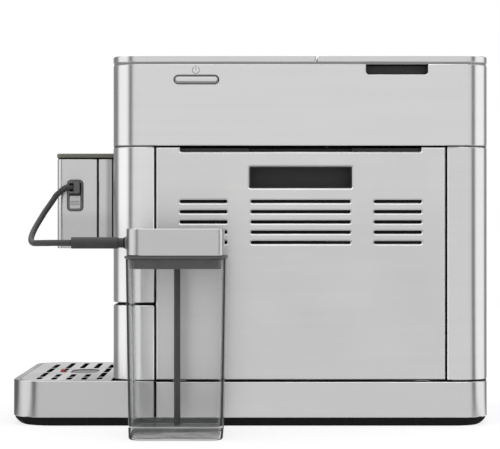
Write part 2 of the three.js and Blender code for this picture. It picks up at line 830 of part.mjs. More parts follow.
// Upper shell all round, with the power button, the display and the finger recess
function makeShell() {
  const z = [zShell, zShellTop];
  const buttonY = [yFront + buttonStart, yFront + buttonStart + buttonLength];
  const buttonZ = [zShellTop - buttonDrop - buttonHeight, zShellTop - buttonDrop];
  const nearSide = [side - 2 * sheet, side + spare];
  const displayX = about(0, displayWidth);
  const displayZ = [zShell + displayRise, zShell + displayRise + displayHeight];
  const recessY = recessPlace();
  const recessZ = [zShellTop - recessHeight, zShellTop + spare];
  const shell = cutBy(
    caseWall(z),
    across(slotOutline(buttonY, buttonZ), nearSide, 3),
    backward(rounded(displayX, displayZ, 3), about(yFront, 4 * sheet)),
    across(rounded(recessY, recessZ, [recessCorner, recessCorner, 0, 0]), nearSide));
  addPiece("upper_shell", shell, steel);

  const back = side - inner;
  const cap = joined(
    across(slotOutline(grow(buttonY, -buttonGap), grow(buttonZ, -buttonGap)),
      [back - spare, side + buttonProud], 3),
    across(
      slotOutline(grow(buttonY, buttonFlange), grow(buttonZ, buttonFlange)), [back - flangeWall, back], 3));
  addPiece("power_button", cap, steel);

  const glassY = [yFront + fit, yFront + fit + displayWall];
  const glass = backward(rounded(grow(displayX, -fit), grow(displayZ, -fit), 3), glassY);
  addPiece("display_glass", glass, smoked);

  const boardMiddle = (displayZ[0] + displayZ[1]) / 2;
  const boardZ = about(boardMiddle, boardHeight);
  const boardX = about(0, boardWidth);
  const boardY = yFront + inner + boardPost;
  const posts = [boardX[0] + boardPost, boardX[1] - boardPost].flatMap((x) =>
    [boardZ[0] + boardPost, boardZ[1] - boardPost].map((at) =>
      rodAlongY(boardPost, [glassY[1] + fit, boardY + spare], [x, at], 8)));
  const chipY = [boardY + boardWall / 2, boardY + boardWall + chipHeight];
  const chips = [-chipPitch, 0, chipPitch].map((x) =>
    block(about(x, chipWidth), chipY, about(boardMiddle, chipWidth)));
  const board = joined(block(boardX, [boardY, boardY + boardWall], boardZ), ...posts, ...chips);
  addPiece("control_board", board, green);

  const cupX = [back - recessDepth, back];
  const cupZ = [recessZ[0] - plastic, zDeckTop];
  const cup = block([cupX[0] - plastic, back], grow(recessY, plastic), cupZ).subtract(
    block([cupX[0], back + spare], recessY, [recessZ[0], zShellTop + spare]));
  addPiece("lid_finger_cup", cup, darkGrey);
}

// A lid that lies over part of the case: a steel pan with a rim on the deck
function lidPan(leftEdge, outlineCut) {
  const z = [zLid, zTop];
  const pan = upright(caseOutline(0), z).subtract(
    upright(caseOutline(lidSkin), [zLid - spare, zTop - lidSkin]));
  const rimZ = [zDeckTop + fit, zTop - lidSkin + fit];
  const rim = upright(caseOutline(lidRimInset), rimZ)
    .subtract(upright(caseOutline(lidRimInset + lidRimWidth), grow(rimZ)));
  return joined(pan.intersect(outlineCut), rim.intersect(leftEdge));
}

function makeLids() {
  const middle = yBulkhead - lidSplit;
  const lean = lidLean / 2;
  const halfGap = lidGap / 2;
  const low = zLid - spare;
  const high = zTop + spare;
  const frontEdge = polygon([[yFront - spare, low], [middle - halfGap - lean, low],
    [middle - halfGap + lean, high], [yFront - spare, high]]);
  const backEdge = polygon([[middle + halfGap - lean, low], [yBack + spare, low],
    [yBack + spare, high], [middle + halfGap + lean, high]]);
  const all = [zDeckTop, zTop];
  const frontEnd = middle - halfGap - lean;
  const backStart = middle + halfGap + lean;
  const wallY = lidRimInset;

  const window = windowPlace();
  const frontBar = block(
    grow([-side, side], -lidRimInset), [frontEnd - wallY - lidRimWidth, frontEnd - wallY],
    [zDeckTop + fit, zTop - lidSkin + fit]);
  const front = joined(
    lidPan(block(wide, [yFront - spare, frontEnd - wallY], grow(all)), across(frontEdge, wide)),
    frontBar);
  const windowHole = upright(rounded(window.x, window.y, 12), grow(all));
  addPiece("front_top_cover", front.subtract(windowHole), steel);

  const backBar = block(
    grow([-side, side], -lidRimInset), [backStart + wallY, backStart + wallY + lidRimWidth],
    [zDeckTop + fit, zTop - lidSkin + fit]);
  const back = joined(
    lidPan(block(wide, [backStart + wallY, yBack + spare], grow(all)), across(backEdge, wide)),
    backBar);
  addPiece("tank_lid", back, steel);

  const lidX = grow(window.x, -grateGap);
  const lidY = grow(window.y, -grateGap);
  const glassZ = [zTop - hopperLidWall, zTop];
  addPiece("hopper_lid", upright(rounded(lidX, lidY, 11), glassZ), smoked);
}

// Bean hopper on the deck, with the dial beside it
function makeHopper() {
  const place = hopperPlace();
  const top = zTop - hopperLidWall - fit;
  const group = subAssembly(place.middle[0], place.middle[1], 0);
  const x = place.x.map((edge) => edge - place.middle[0]);
  const y = about(0, hopperDepth);
  const foot = top - hopperHeight;
  const throat = about(0, throatWidth);
  const body = (inset, low, high) => loft([
    ring(grow(throat, -inset), grow(throat, -inset), hopperCorner - inset, low, 3),
    ring(grow(x, -inset), grow(y, -inset), hopperCorner - inset, foot + funnelHeight, 3),
    ring(grow(x, -inset), grow(y, -inset), hopperCorner - inset, high, 3),
  ]);
  const flange = upright(
    rounded(grow(x, hopperFlange + spare), grow(y, hopperFlange + spare), hopperCorner + hopperFlange),
    [zDeckTop + fit, zDeckTop + fit + hopperFlangeHeight]);
  const hopper = cutBy(
    joined(body(0, foot, top), flange),
    body(plastic, foot + plastic, top + spare),
    rod(throatRadius, [foot - spare, foot + funnelHeight]));
  addPiece("bean_hopper", hopper, smoked, group);

  const dial = dialPlace();
  const dialGroup = subAssembly(dial[0], dial[1], zDeckTop + fit);
  const grooves = Array.from({ length: dialGrooves }, (_, i) => {
    const angle = 2 * Math.PI * i / dialGrooves;
    const middle = [dialRadius * Math.cos(angle), dialRadius * Math.sin(angle)];
    return rod(1, grow(upTo(dialHeight)), middle, 6);
  });
  const knob = cutBy(rod(dialRadius, upTo(dialHeight), [0, 0], 36), ...grooves);
  const shaft = rod(dialShaft, [-dialShaftLength, spare], [0, 0], 16);
  addPiece("grind_dial", joined(knob, shaft), darkGrey, dialGroup);
  return foot;
}

// Grinder: burr housing on its motor, under the hopper
function makeGrinder(hopperFoot) {
  const [x, y] = hopperPlace().middle;
  const group = subAssembly(x, y, 0);
  const top = hopperFoot - fit;
  const foot = top - grinderHeight;
  const floor = foot + grinderFloor;
  const chuteZ = [floor, floor + chuteHeight];
  const wall = plastic;
  const housing = cutBy(
    joined(
      rod(grinderRadius, [foot, top]),
      block([0, chuteLength], about(0, chuteWidth), grow(chuteZ, wall))),
    rod(burrChamber, [floor, top + spare]),
    rod(burrShaft + runningGap, [foot - spare, top], [0, 0], 16),
    block([0, chuteLength + spare], grow(about(0, chuteWidth), -wall), chuteZ));
  addPiece("grinder_housing", housing, darkGrey, group);

  const coneZ = [floor + fit, floor + fit + burrHeight];
  const burr = joined(
    rod(burrRadius, [coneZ[0], coneZ[0] + 6]),
    rod(burrRadius, [coneZ[0] + 6, coneZ[1]], [0, 0], 24, burrTip),
    rod(burrShaft, [foot - shaftLength / 2, coneZ[0] + spare], [0, 0], 16));
  addPiece("burr_cone", burr, steelDark, group);

  const motor = rod(motorRadius, [zShelfTop + fit, foot - fit])
    .subtract(rod(burrShaft + runningGap, [foot - shaftLength / 2 - spare, foot], [0, 0], 16));
  addPiece("grinder_motor", motor, steelDark, group);
}

// Brew unit: chamber and frame, piston on a spindle, gearbox on top
function makeBrewUnit() {
  const { x, y } = brewPlace();
  const group = subAssembly(x, y, zShelfTop + fit);
  const plateY = [brewPlateBack, brewPlateBack + brewPlate];
  const brewHeight = zDeck - gearboxRoom - gearboxHeight - fit - (zShelfTop + fit);
  const chamberZ = [chamberRise, chamberRise + chamberHeight];
  const bridgeZ = [brewHeight - brewPlate, brewHeight];
  const frame = cutBy(
    joined(
      block(about(0, brewPlateWidth), plateY, upTo(brewHeight)),
      rod(chamberRadius, chamberZ, [0, 0], 32),
      block(about(0, 2 * nutRadius), [chamberBore, brewPlateBack + spare], chamberZ),
      block(about(0, brewPlateWidth), [-gearboxWidth / 2, brewPlateBack + spare], bridgeZ)),
    rod(chamberBore, grow(chamberZ), [0, 0], 32),
    rod(spindleRadius + runningGap, grow(bridgeZ), [0, 0], 16));
  addPiece("brew_frame", frame, darkGrey, group);

  const rest = chamberZ[1] + pistonRest;
  const nutZ = [rest + pistonHeight, rest + pistonHeight + nutHeight];
  const piston = cutBy(
    joined(rod(chamberBore - runningGap, [rest, rest + pistonHeight], [0, 0], 32),
      rod(nutRadius, [rest + pistonHeight - spare, nutZ[1]])),
    rod(spindleRadius + runningGap, [nutZ[0], nutZ[1] + spare], [0, 0], 16));
  addPiece("brew_piston", piston, steelDark, group);

  const gearboxZ = [brewHeight + fit, brewHeight + fit + gearboxHeight];
  const spindleTop = gearboxZ[0] + socketDepth;
  addPiece("brew_spindle", rod(spindleRadius, [nutZ[0] + 2, spindleTop], [0, 0], 16), brass, group);
  const gearbox = joined(
    block(about(0, gearboxWidth), about(0, gearboxWidth), gearboxZ),
    rodAlongY(gearboxHeight / 2 - 1, [0, brewPlateBack], [0, (gearboxZ[0] + gearboxZ[1]) / 2]),
  ).subtract(rod(spindleRadius + runningGap, [gearboxZ[0] - spare, spindleTop + fit], [0, 0], 16));
  addPiece("brew_motor", gearbox, steelDark, group);
}

// Water tank on its valve seat, pump and heater below
function makeWater() {
  const tank = tankPlace();
  const seatTop = zRearShelfTop + fit + seatHeight;
  const low = seatTop + fit;
  const flangeZ = [zDeckTop + fit, zDeckTop + fit + tankFlangeHeight];
  const rimTop = zTop - lidSkin - fit;
  const group = subAssembly(tank.x, tank.y, 0);
  const x = about(0, tankWidth);
  const y = grow(tank.rangeY, 0).map((edge) => edge - tank.y);
  const body = cutBy(
    joined(
      upright(rounded(x, y, tankCorner), [low, rimTop]),
      upright(rounded(grow(x, tankFlange), grow(y, tankFlange), tankCorner + tankFlange), flangeZ),
      rod(valveRadius, [low - valveDrop, low + spare])),
    upright(
      rounded(grow(x, -plastic), grow(y, -plastic), tankCorner - plastic), [low + plastic, rimTop + spare]));
  addPiece("water_tank", body, clear, group);

  const stubLow = zRearShelf - seatStubDrop;
  const seat = cutBy(
    joined(
      rod(seatRadius, [zRearShelfTop + fit, seatTop]),
      rod(seatStub, [stubLow, seatTop]),
      rod(nippleRadius, [stubLow - nippleLength, stubLow + spare], [0, 0], 16)),
    rod(valveRadius + valveGap, [low - valveDrop - fit, seatTop + spare]));
  addPiece("tank_seat", seat, black, group);

  const pumpZ = zPan + pumpRise;
  const pumpX = [-pumpLength / 2, pumpLength / 2];
  const inletTop = pumpZ + pumpRadius + nippleLength;
  const pump = joined(
    rodAlongX(pumpRadius, pumpX, [0, pumpZ]),
    block(about(0, pumpFootWidth), about(0, pumpFootWidth), [zPan + fit, pumpZ]),
    rod(nippleRadius, [pumpZ, inletTop], [0, 0], 16),
    rodAlongX(nippleRadius, [0, pumpX[1] + nippleLength], [0, pumpZ], 16));
  addPiece("water_pump", pump, darkGrey, group);
  const hose = rod(pipeRadius, [inletTop + fit, stubLow - nippleLength - fit], [0, 0], 12);
  addPiece("water_hose", hose, clear, group);

  const heaterX = [pumpX[1] + heaterFromPump, side - heaterFromSide - tank.x];
  const heaterY = about(0, heaterDepth);
  const heaterZ = [zPan + heaterRise, zPan + heaterRise + heaterHeight];
  const legs = [heaterX[0], heaterX[1] - legWidth].map((from) =>
    block([from, from + legWidth], heaterY, [zPan + fit, heaterZ[0] + spare]));
  const nippleZ = pumpZ + heaterNipple;
  const nipple = rodAlongX(nippleRadius, [heaterX[0] - nippleLength, heaterX[0] + spare], [0, nippleZ], 16);
  addPiece("water_heater", joined(block(heaterX, heaterY, heaterZ), ...legs, nipple), steelDark, group);

  const from = pumpX[1] + nippleLength + fit;
  const to = heaterX[0] - nippleLength - fit;
  const third = (to - from) / 3;
  const route = [[from, pumpZ], [from + third, pumpZ], [to - third, nippleZ], [to, nippleZ]]
    .map(([x, z]) => new THREE.Vector3(x, 0, z));
  addPiece("pressure_hose", tubeAlong(route, pipeRadius - 1, 10, 8), white, group);

  const boardY = yBack - sheet - powerBoardGap;
  const boardStart = -side + caseCorner + powerBoardInset;
  const boardX = [boardStart, inletMiddle() - inletWidth / 2 - powerBoardFromInlet];
  const boardZ = [zPan + powerBoardRise, zPan + powerBoardRise + powerBoardHeight];
  const posts = boardX.flatMap((edge, i) => boardZ.map((level, j) =>
    rodAlongY(boardPost, [boardY, yBack - inner], [edge + (i ? -8 : 8), level + (j ? -8 : 8)], 8)));
  const boardMiddle = (boardZ[0] + boardZ[1]) / 2;
  const parts = powerParts.map(([at, width, depth]) =>
    block(about(boardX[0] + at, width), [boardY - depth, boardY + fit], about(boardMiddle, width)));
  const board = joined(block(boardX, [boardY, boardY + boardWall], boardZ), ...posts, ...parts);
  addPiece("power_board", board, green);
}

// Spouts on their carriage, with the milk port, its tab and the plug of the milk hose
function makeSpouts() {
  const group = subAssembly(0, yFront, zFascia + spoutRise);
  const half = spoutWidth / 2;
  const x = [-half, half];
  const { top: spoutHeight, arm: armZ } = spoutHeights();
  const z = upTo(spoutHeight - fit);
  const outline = (inset) => rounded(grow(x, -inset), [-spoutDepth + inset, spare],
    [spoutCorner - inset, spoutCorner - inset, 0, 0]);
  const shellWall = (y) => cutBy(upright(outline(0), z), upright(outline(spoutWall), grow(z)))
    .intersect(block(grow(x), y, grow(z)));
  const frontEnd = -spoutDepth + spoutFrontDepth;
  const rearStart = frontEnd + spoutSeam;
  const rearEnd = rearStart + spoutRearDepth;
  const portY = [-spoutDepth + portFromFront, -spoutDepth + portFromFront + portWidth];
  const portZ = [spoutHeight - portDrop - portHeight, spoutHeight - portDrop];
  const portHole = across(rounded(portY, portZ, portCorner), [half - spoutWall - spare, half + spare]);
  addPiece("spout_front", shellWall([-spoutDepth - spare, frontEnd]).subtract(portHole), steel, group);
  const rearFloor = block(grow(x, -spoutWall / 2), [rearStart, rearEnd], upTo(spoutWall));
  addPiece("spout_rear", joined(shellWall([rearStart, rearEnd]), rearFloor), steel, group);

  const inside = half - spoutWall - fit;
  const plateStart = rearEnd + fit;
  const coreZ = [coreInset, spoutHeight - fit];
  const slideY = [sheet + fit, sheet + fit + slideWall];
  const carriage = joined(
    block([-inside, inside], [frontEnd - spare, rearStart - fit], z),
    block([-inside, inside], [frontEnd, rearEnd + spare], [spoutWall + fit, z[1]]),
    block(about(0, coreWidth), [-spoutDepth + spoutWall + fit, frontEnd], coreZ),
    block(grow(x, -spare), [plateStart, -fit], z),
    block(about(0, armWidth), [-carriageWall, slideY[1]], armZ),
    block(about(0, slideWidth), slideY, armZ));
  const port = portSolids(half, portY, portZ);
  addPiece("spout_carriage", cutBy(carriage, ...port.room), black, group);

  const capY = [-spoutDepth - capOverhang, -fit];
  const cap = upright(
    rounded(grow(x, capOverhang), capY, [spoutCorner, spoutCorner, 1, 1]),
    [spoutHeight, spoutHeight + capHeight]);
  addPiece("spout_cap", cap, capOlive, group);

  const outletY = -spoutDepth + outletFromFront;
  const tips = [-outletPitch / 2, outletPitch / 2].map((at) =>
    rod(outletTip, [spare, coreInset - fit], [at, outletY], 16, outletRadius));
  const barZ = [coreInset - fit - outletBar, coreInset - fit];
  const bar = block(about(0, outletPitch), about(outletY, outletRadius), barZ);
  addPiece("coffee_outlets", joined(bar, ...tips), black, group);
  const milkTip = rod(milkOutletRadius - 1.5, [spare, coreInset - fit],
    [0, -spoutDepth + milkOutletFromFront], 16, milkOutletRadius);
  addPiece("milk_outlet", milkTip, white, group);
  addPiece("milk_port", port.bezel, darkGrey, group);
  addPiece("release_tab", port.tab, steelDark, group);
  addPiece("milk_plug", port.plug, hoseGrey, group);
  const plugMouth = port.mouth.clone().add(group.position);
  return { mouth: plugMouth.addScaledVector(port.aim, fit), aim: port.aim };
}

// Milk port in the spout's frame: bezel, push tab, plug, and the room that they need
function portSolids(half, portY, portZ) {
  const floorX = half - portFloor;
  const outer = [floorX - plastic, half + portProud];
  const body = across(rounded(grow(portY, -fit), grow(portZ, -fit), portCorner - fit), outer);
  const openY = grow(portY, -portRim);
  const openZ = grow(portZ, -portRim);
  const open = across(rounded(openY, openZ, portCorner - portRim), [floorX, half + portProud + spare]);
  const bezel = body.subtract(open);

  const middleY = (portY[0] + portY[1]) / 2;
  const tabZ = [openZ[0] + fit, openZ[0] + fit + tabPushHeight];
  const tabX = [floorX + tabTravel + fit, half + tabPushProud];
  const grooves = Array.from({ length: tabGrooves }, (_, i) => block(
    [tabX[1] - tabGroove, tabX[1] + spare], about(middleY, tabPushWidth - 2 * tabGroove),
    about(tabZ[1] - tabGrooveDrop - i * tabGroovePitch, tabGroove)));
  const tab = cutBy(across(rounded(about(middleY, tabPushWidth), tabZ, plugCorner), tabX), ...grooves);

  const plugZ = [openZ[1] - fit - plugHeight, openZ[1] - fit];
  const plugY = about(middleY, plugWidth);
  const rootZ = (plugZ[0] + plugZ[1]) / 2 + barrelRise;
  const root = new THREE.Vector3(half + barrelOut, middleY - barrelForward, rootZ);
  const dip = barrelDip * Math.PI / 180;
  const aim = new THREE.Vector3(0, -Math.cos(dip), -Math.sin(dip));
  const bend = root.clone().add(new THREE.Vector3(0, -barrelLevel, 0));
  const mouth = bend.clone().addScaledVector(aim, barrelReach);
  const route = [root, root.clone().lerp(bend, 0.7), bend.clone().lerp(mouth, 0.35), mouth];
  const barrel = tubeAlong(route, barrelRadius, 12, 8);
  const notch = block([root.x - barrelRadius - grateGap, half + plugProud + spare],
    [plugY[0] - spare, root.y + grateGap], about(rootZ, barrelNotch));
  const seat = rodAlongX(
    barrelRadius - fit, [root.x - barrelRadius - spare, root.x], [root.y - barrelRadius, rootZ], 12);
  const plug = joined(
    across(rounded(plugY, plugZ, plugCorner), [floorX + fit, half + plugProud]).subtract(notch),
    seat, barrel);
  const room = [across(rounded(portY, portZ, portCorner), [outer[0] - fit, half + spare])];
  return { bezel, tab, plug, room, mouth, aim };
}

// Milk container: glass, dark band, steel lid, suction tube and hose connector
function makeJug() {
  const middleY = yFront + jugFromFront;
  const group = subAssembly(side + jugGap + jugDepth / 2, middleY, 0);
  const halfX = jugDepth / 2;
  const halfY = jugWidth / 2;
  const foot = jugTaper / 2;
  const level = (inset, z) => {
    const taper = foot * (1 - z / jugHeight);
    const both = inset + taper;
    return ring([-halfX + both, halfX - both], [-halfY + both, halfY - both], jugCorner - inset, z, 5);
  };
  const glass = loft([level(jugEdge, 0), level(0, jugEdge), level(0, jugHeight)]);
  const hollow = loft([level(jugWall + jugEdge, jugBase), level(jugWall, jugBase + 2 * jugEdge),
    level(jugWall, jugHeight + spare)]);
  addPiece("milk_jug", glass.subtract(hollow), clear, group);

  const bandZ = [jugHeight + fit, jugHeight + fit + bandHeight];
  const x = [-halfX, halfX];
  const y = grow([-halfY, halfY], bandProud);
  const lipZ = [jugHeight - lipDepth, bandZ[0] + spare];
  const lip = (inset) => {
    const both = jugWall + grateGap + inset;
    return rounded(grow(x, -both), grow(y, -both - bandProud), jugCorner - both);
  };
  const band = cutBy(
    joined(upright(rounded(x, y, jugCorner), bandZ), upright(lip(0), lipZ)),
    upright(lip(lipWall), [lipZ[0] - spare, bandZ[0]]),
    rod(tubeRadius + fit, grow(bandZ), [0, 0], 16));
  addPiece("jug_band", band, smoked, group);

  const lidZ = [bandZ[1] + fit, bandZ[1] + fit + jugLidHeight];
  const lidY = about(-jugLidBack, jugLidWidth);
  const connectorZ = lidZ[1] - connectorDrop;
  const lidOutline = (inset) => {
    const front = jugLidFront - inset;
    const rear = jugLidRear - inset;
    return rounded(grow(x, -inset), grow(lidY, -inset), [front, front, rear, rear]);
  };
  const lid = cutBy(
    upright(lidOutline(0), lidZ),
    upright(lidOutline(jugLidWall), [lidZ[0] - spare, lidZ[1] - jugLidWall]),
    rodAlongY(noseRadius + fit, about(lidY[0], 4 * jugLidWall), [0, connectorZ], 16));
  addPiece("jug_lid", lid, steel, group);

  const tubeZ = [tubeRise, connectorZ + noseRadius + 2];
  const tube = rod(tubeRadius, tubeZ, [0, 0], 16)
    .subtract(rod(tubeBore, [tubeZ[0] - spare, connectorZ], [0, 0], 12));
  addPiece("suction_tube", tube, darkGrey, group);

  const thick = [lidY[0] - connectorOut - connectorLength, lidY[0] - connectorOut];
  const connector = joined(
    rodAlongY(connectorRadius, thick, [0, connectorZ], 20),
    rodAlongY(noseRadius, [thick[1] - spare, -tubeRadius - fit], [0, connectorZ], 16));
  addPiece("hose_connector", connector, hoseGrey, group);
  return new THREE.Vector3(0, thick[0] - fit, connectorZ).add(group.position);
}

// Milk hose from the plug to the connector; its ends run straight for one diameter
const hoseRoute = [
  [50, -205.7, 227.8], [54, -210, 221], [60.5, -213.9, 214.4], [69, -216.9, 208.1],
  [80.5, -219.5, 201.8], [94.5, -221.2, 196], [111.5, -221.6, 190.9], [130.5, -220.5, 187.2],
  [151, -218, 184.8], [171.5, -214.3, 183.6], [190.5, -209.5, 183.3], [207.5, -203.4, 183.3],
  [221.5, -196.2, 183.5], [231.5, -188, 183.7], [236, -182.5, 183.8],
];

function makeHose(plug, connectorMouth) {
  const afterPlug = plug.mouth.clone().addScaledVector(plug.aim, hoseDiameter);
  const beforeConnector = connectorMouth.clone().sub(new THREE.Vector3(0, hoseDiameter, 0));
  const between = hoseRoute.map((point) => new THREE.Vector3(...point));
  const route = [plug.mouth, afterPlug, ...between, beforeConnector, connectorMouth];
  addPiece("milk_hose", tubeAlong(route, hoseDiameter / 2, hoseSides, hoseSteps), hoseGrey);
}

makeBase();
makeTray();
makeGrate();
makeChassis();
makeDeck();
makePanels();
makeDoor();
makeShell();
makeLids();
makeGrinder(makeHopper());
makeBrewUnit();
makeWater();
makeHose(makeSpouts(), makeJug());

export default coffeeMachine;
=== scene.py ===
import json
import math

import bmesh
import bpy
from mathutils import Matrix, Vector
from mathutils.geometry import tessellate_polygon

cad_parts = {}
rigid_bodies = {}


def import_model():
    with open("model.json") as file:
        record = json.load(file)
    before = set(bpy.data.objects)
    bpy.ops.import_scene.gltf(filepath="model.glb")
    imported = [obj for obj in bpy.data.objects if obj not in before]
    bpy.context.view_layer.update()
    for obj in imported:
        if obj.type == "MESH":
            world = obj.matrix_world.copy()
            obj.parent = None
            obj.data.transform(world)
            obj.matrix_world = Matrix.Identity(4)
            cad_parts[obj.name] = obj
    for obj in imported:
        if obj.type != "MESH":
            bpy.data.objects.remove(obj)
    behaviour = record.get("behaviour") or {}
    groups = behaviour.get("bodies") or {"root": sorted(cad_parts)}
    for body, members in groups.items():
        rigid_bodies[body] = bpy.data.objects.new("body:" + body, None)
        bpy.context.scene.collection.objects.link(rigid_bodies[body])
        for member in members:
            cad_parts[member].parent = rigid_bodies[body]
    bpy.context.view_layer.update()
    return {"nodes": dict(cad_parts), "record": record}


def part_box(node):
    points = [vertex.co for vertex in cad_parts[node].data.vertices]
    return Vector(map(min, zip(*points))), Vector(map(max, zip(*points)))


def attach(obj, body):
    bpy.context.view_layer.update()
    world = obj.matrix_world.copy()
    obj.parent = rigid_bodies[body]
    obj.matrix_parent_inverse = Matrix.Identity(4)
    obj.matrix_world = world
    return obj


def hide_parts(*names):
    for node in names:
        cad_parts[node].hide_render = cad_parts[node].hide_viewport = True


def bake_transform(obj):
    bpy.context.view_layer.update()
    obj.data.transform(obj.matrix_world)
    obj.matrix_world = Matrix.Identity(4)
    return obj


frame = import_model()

mm = 0.001
scene = bpy.context.scene
print("frame loaded:", len(frame["nodes"]), "nodes")


# Camera: level, on the door's side, framed as the photograph is
cameraSettings = {
    "place": (2115.5, 0, 198),  # mm
    "focalPixels": 2042,
    "pictureWidth": 500,
    "horizonBelowMiddle": 3.5,  # pixels
    "sensor": 36,
}


def makeCamera(s):
    data = bpy.data.cameras.new("camera")
    data.sensor_width = s["sensor"]
    data.lens = s["focalPixels"] / s["pictureWidth"] * s["sensor"]
    data.shift_y = s["horizonBelowMiddle"] / s["pictureWidth"]
    data.clip_end = 20
    camera = bpy.data.objects.new("camera", data)
    scene.collection.objects.link(camera)
    camera.location = Vector(s["place"]) * mm
    camera.rotation_euler = Vector((-1, 0, 0)).to_track_quat("-Z", "Y").to_euler()
    scene.camera = camera


makeCamera(cameraSettings)


# Node maths: a wrapped socket, and a tree that makes the nodes
class Value:
    def __init__(self, nodes, socket):
        self.nodes = nodes
        self.socket = socket

    def combine(self, operation, other, swapped=False):
        return self.nodes.maths(operation, *((other, self) if swapped else (self, other)))

    def __add__(self, other):
        return self.combine("ADD", other)

    def __sub__(self, other):
        return self.combine("SUBTRACT", other)

    def __mul__(self, other):
        return self.combine("MULTIPLY", other)

    def __rsub__(self, other):
        return self.combine("SUBTRACT", other, swapped=True)

    __radd__ = __add__
    __rmul__ = __mul__


class Nodes:
    def __init__(self, tree):
        self.tree = tree
        tree.nodes.clear()

    def node(self, kind, settings=None, inputs=None, output=0):
        made = self.tree.nodes.new(kind)
        for name, setting in (settings or {}).items():
            if name == "stops":
                self.setStops(made.color_ramp, setting)
            else:
                setattr(made, name, setting)
        for name, given in (inputs or {}).items():
            socket = made.inputs[name]
            for value in given if isinstance(given, list) else [given]:
                if isinstance(value, Value):
                    self.tree.links.new(value.socket, socket)
                else:
                    socket.default_value = value
        return Value(self, made.outputs[output]) if len(made.outputs) else None

    def setStops(self, ramp, stops):
        while len(ramp.elements) < len(stops):
            ramp.elements.new(1)
        for element, (place, shade) in zip(ramp.elements, stops):
            element.position = place
            element.color = (shade, shade, shade, 1)

    def ramp(self, value, *stops):
        return self.node("ShaderNodeValToRGB", {"stops": stops}, {"Fac": value})

    def mixColours(self, factor, low, high):
        kind = {"data_type": "RGBA"}
        return self.node("ShaderNodeMix", kind, {0: factor, 6: low, 7: high}, output=2)

    def ownPlace(self, axis=None):
        place = self.node("ShaderNodeTexCoord", output="Object")
        return self.node("ShaderNodeSeparateXYZ", None, {"Vector": place}, output=axis) if axis else place

    # A value that goes from one level to another between two places
    def blend(self, value, start, end, level=0.0, other=1.0):
        return self.node("ShaderNodeMapRange", {"interpolation_type": "SMOOTHSTEP"}, {
            "Value": value, "From Min": start, "From Max": end, "To Min": level, "To Max": other})

    # The same along an axis of the piece, in mm
    def between(self, axis, start, end, level, other):
        return self.blend(self.ownPlace(axis), start * mm, end * mm, level, other)

    # Noise with so many cells per metre along each axis, or along all three
    def noise(self, cells, detail=2.0, roughness=0.5):
        scale = cells if isinstance(cells, tuple) else (cells,) * 3
        place = self.node("ShaderNodeMapping", None, {"Vector": self.ownPlace(), "Scale": scale})
        inputs = {"Vector": place, "Scale": 1.0, "Detail": detail, "Roughness": roughness}
        return self.node("ShaderNodeTexNoise", None, inputs)

    def maths(self, operation, a, b, **settings):
        return self.node("ShaderNodeMath", {"operation": operation, **settings}, {0: a, 1: b})

    def bump(self, height, strength, distance):
        inputs = {"Height": height, "Strength": strength, "Distance": distance}
        return self.node("ShaderNodeBump", None, inputs)


def grey(level):
    return (level, level, level, 1)


# A colour's darker or brighter form, as the shader takes it; a number stands for a grey
def toned(colour, share):
    parts = colour if isinstance(colour, tuple) else (colour,) * 3
    return tuple(min(1, part * share) for part in parts) + (1,)


def makeFinish(name, build):
    material = bpy.data.materials.new(name)
    material.use_nodes = True
    shade = Nodes(material.node_tree)
    surface = shade.node("ShaderNodeBsdfPrincipled", None, build(shade))
    shade.node("ShaderNodeOutputMaterial", None, {"Surface": surface})
    return material


# Brushed sheet steel: fine level lines, long faint bands and a little cloudiness
steelSettings = {
    "lines": 1500,  # lines per metre across the grain
    "along": 5,  # the same along the grain
    "bands": 160,
    "cloud": 11,
    "base": 0.945,  # tone without lines, bands and clouds
    "lineTone": 0.06,
    "bandTone": 0.05,
    "cloudTone": 0.04,
    "roughness": 0.3,
    "uneven": 0.03,  # change of roughness
    "spread": 0.8,  # reflections are drawn out across the grain
    "grainTurn": 0.25,
    "lineRelief": (0.25, 0.000012),  # strength, depth in metres
}


def brushedSteel(name, tone, across="Z", tint=(1, 1, 0.997), cloudy=1.0, paintedLightFades=(),
                 spread=steelSettings["spread"]):
    s = steelSettings

    def cells(lines):
        return tuple(lines if axis in across else s["along"] for axis in "XYZ")

    def build(shade):
        fine = shade.noise(cells(s["lines"]), detail=3.0, roughness=0.7)
        bands = shade.noise(cells(s["bands"]))
        cloud = shade.noise(s["cloud"], detail=3.0, roughness=0.6)
        clouded = s["cloudTone"] * cloudy
        light = tone * (s["base"] - clouded / 2 + fine * s["lineTone"] + bands * s["bandTone"]
                        + cloud * clouded)
        # Painted light and shade: the tone is made lighter or darker along an axis of the piece
        for axis, start, end, amount in paintedLightFades:
            light = light * shade.between(axis, start, end, 1.0, amount)
        return {
            "Base Color": shade.mixColours(light, grey(0), (*tint, 1)),
            "Metallic": 1.0,
            "Roughness": s["roughness"] - s["uneven"] + bands * s["uneven"] + cloud * s["uneven"],
            "Anisotropic": spread,
            "Anisotropic Rotation": s["grainTurn"],
            "Normal": shade.bump(fine, *s["lineRelief"]),
        }

    return makeFinish(name, build)


# Cast and turned metal, with a fine grain and faint smudges
metalSettings = {"grain": 900, "smudges": 35, "change": 0.2, "relief": (0.15, 0.00002)}


def turnedMetal(name, colour, roughness):
    s = metalSettings

    def build(shade):
        grain = shade.noise(s["grain"])
        smudge = shade.noise(s["smudges"], detail=3.0)
        light = 1 - s["change"] / 2 + smudge * s["change"]
        return {
            "Base Color": shade.mixColours(light * 0.5, grey(0), toned(colour, 2)),
            "Metallic": 1.0,
            "Roughness": roughness - s["change"] / 4 + smudge * (s["change"] / 2),
            "Normal": shade.bump(grain, *s["relief"]),
        }

    return makeFinish(name, build)


# Moulded plastic and rubber: a fine pebbled skin, a faint change of colour and gloss
mouldedSettings = {
    "flow": 24,
    "change": 0.14,  # of the colour, darker and brighter
    "flowMatt": 0.08,
    "pebbleMatt": 0.04,
    "coatRoughness": 0.15,
    "strength": 0.4,
}


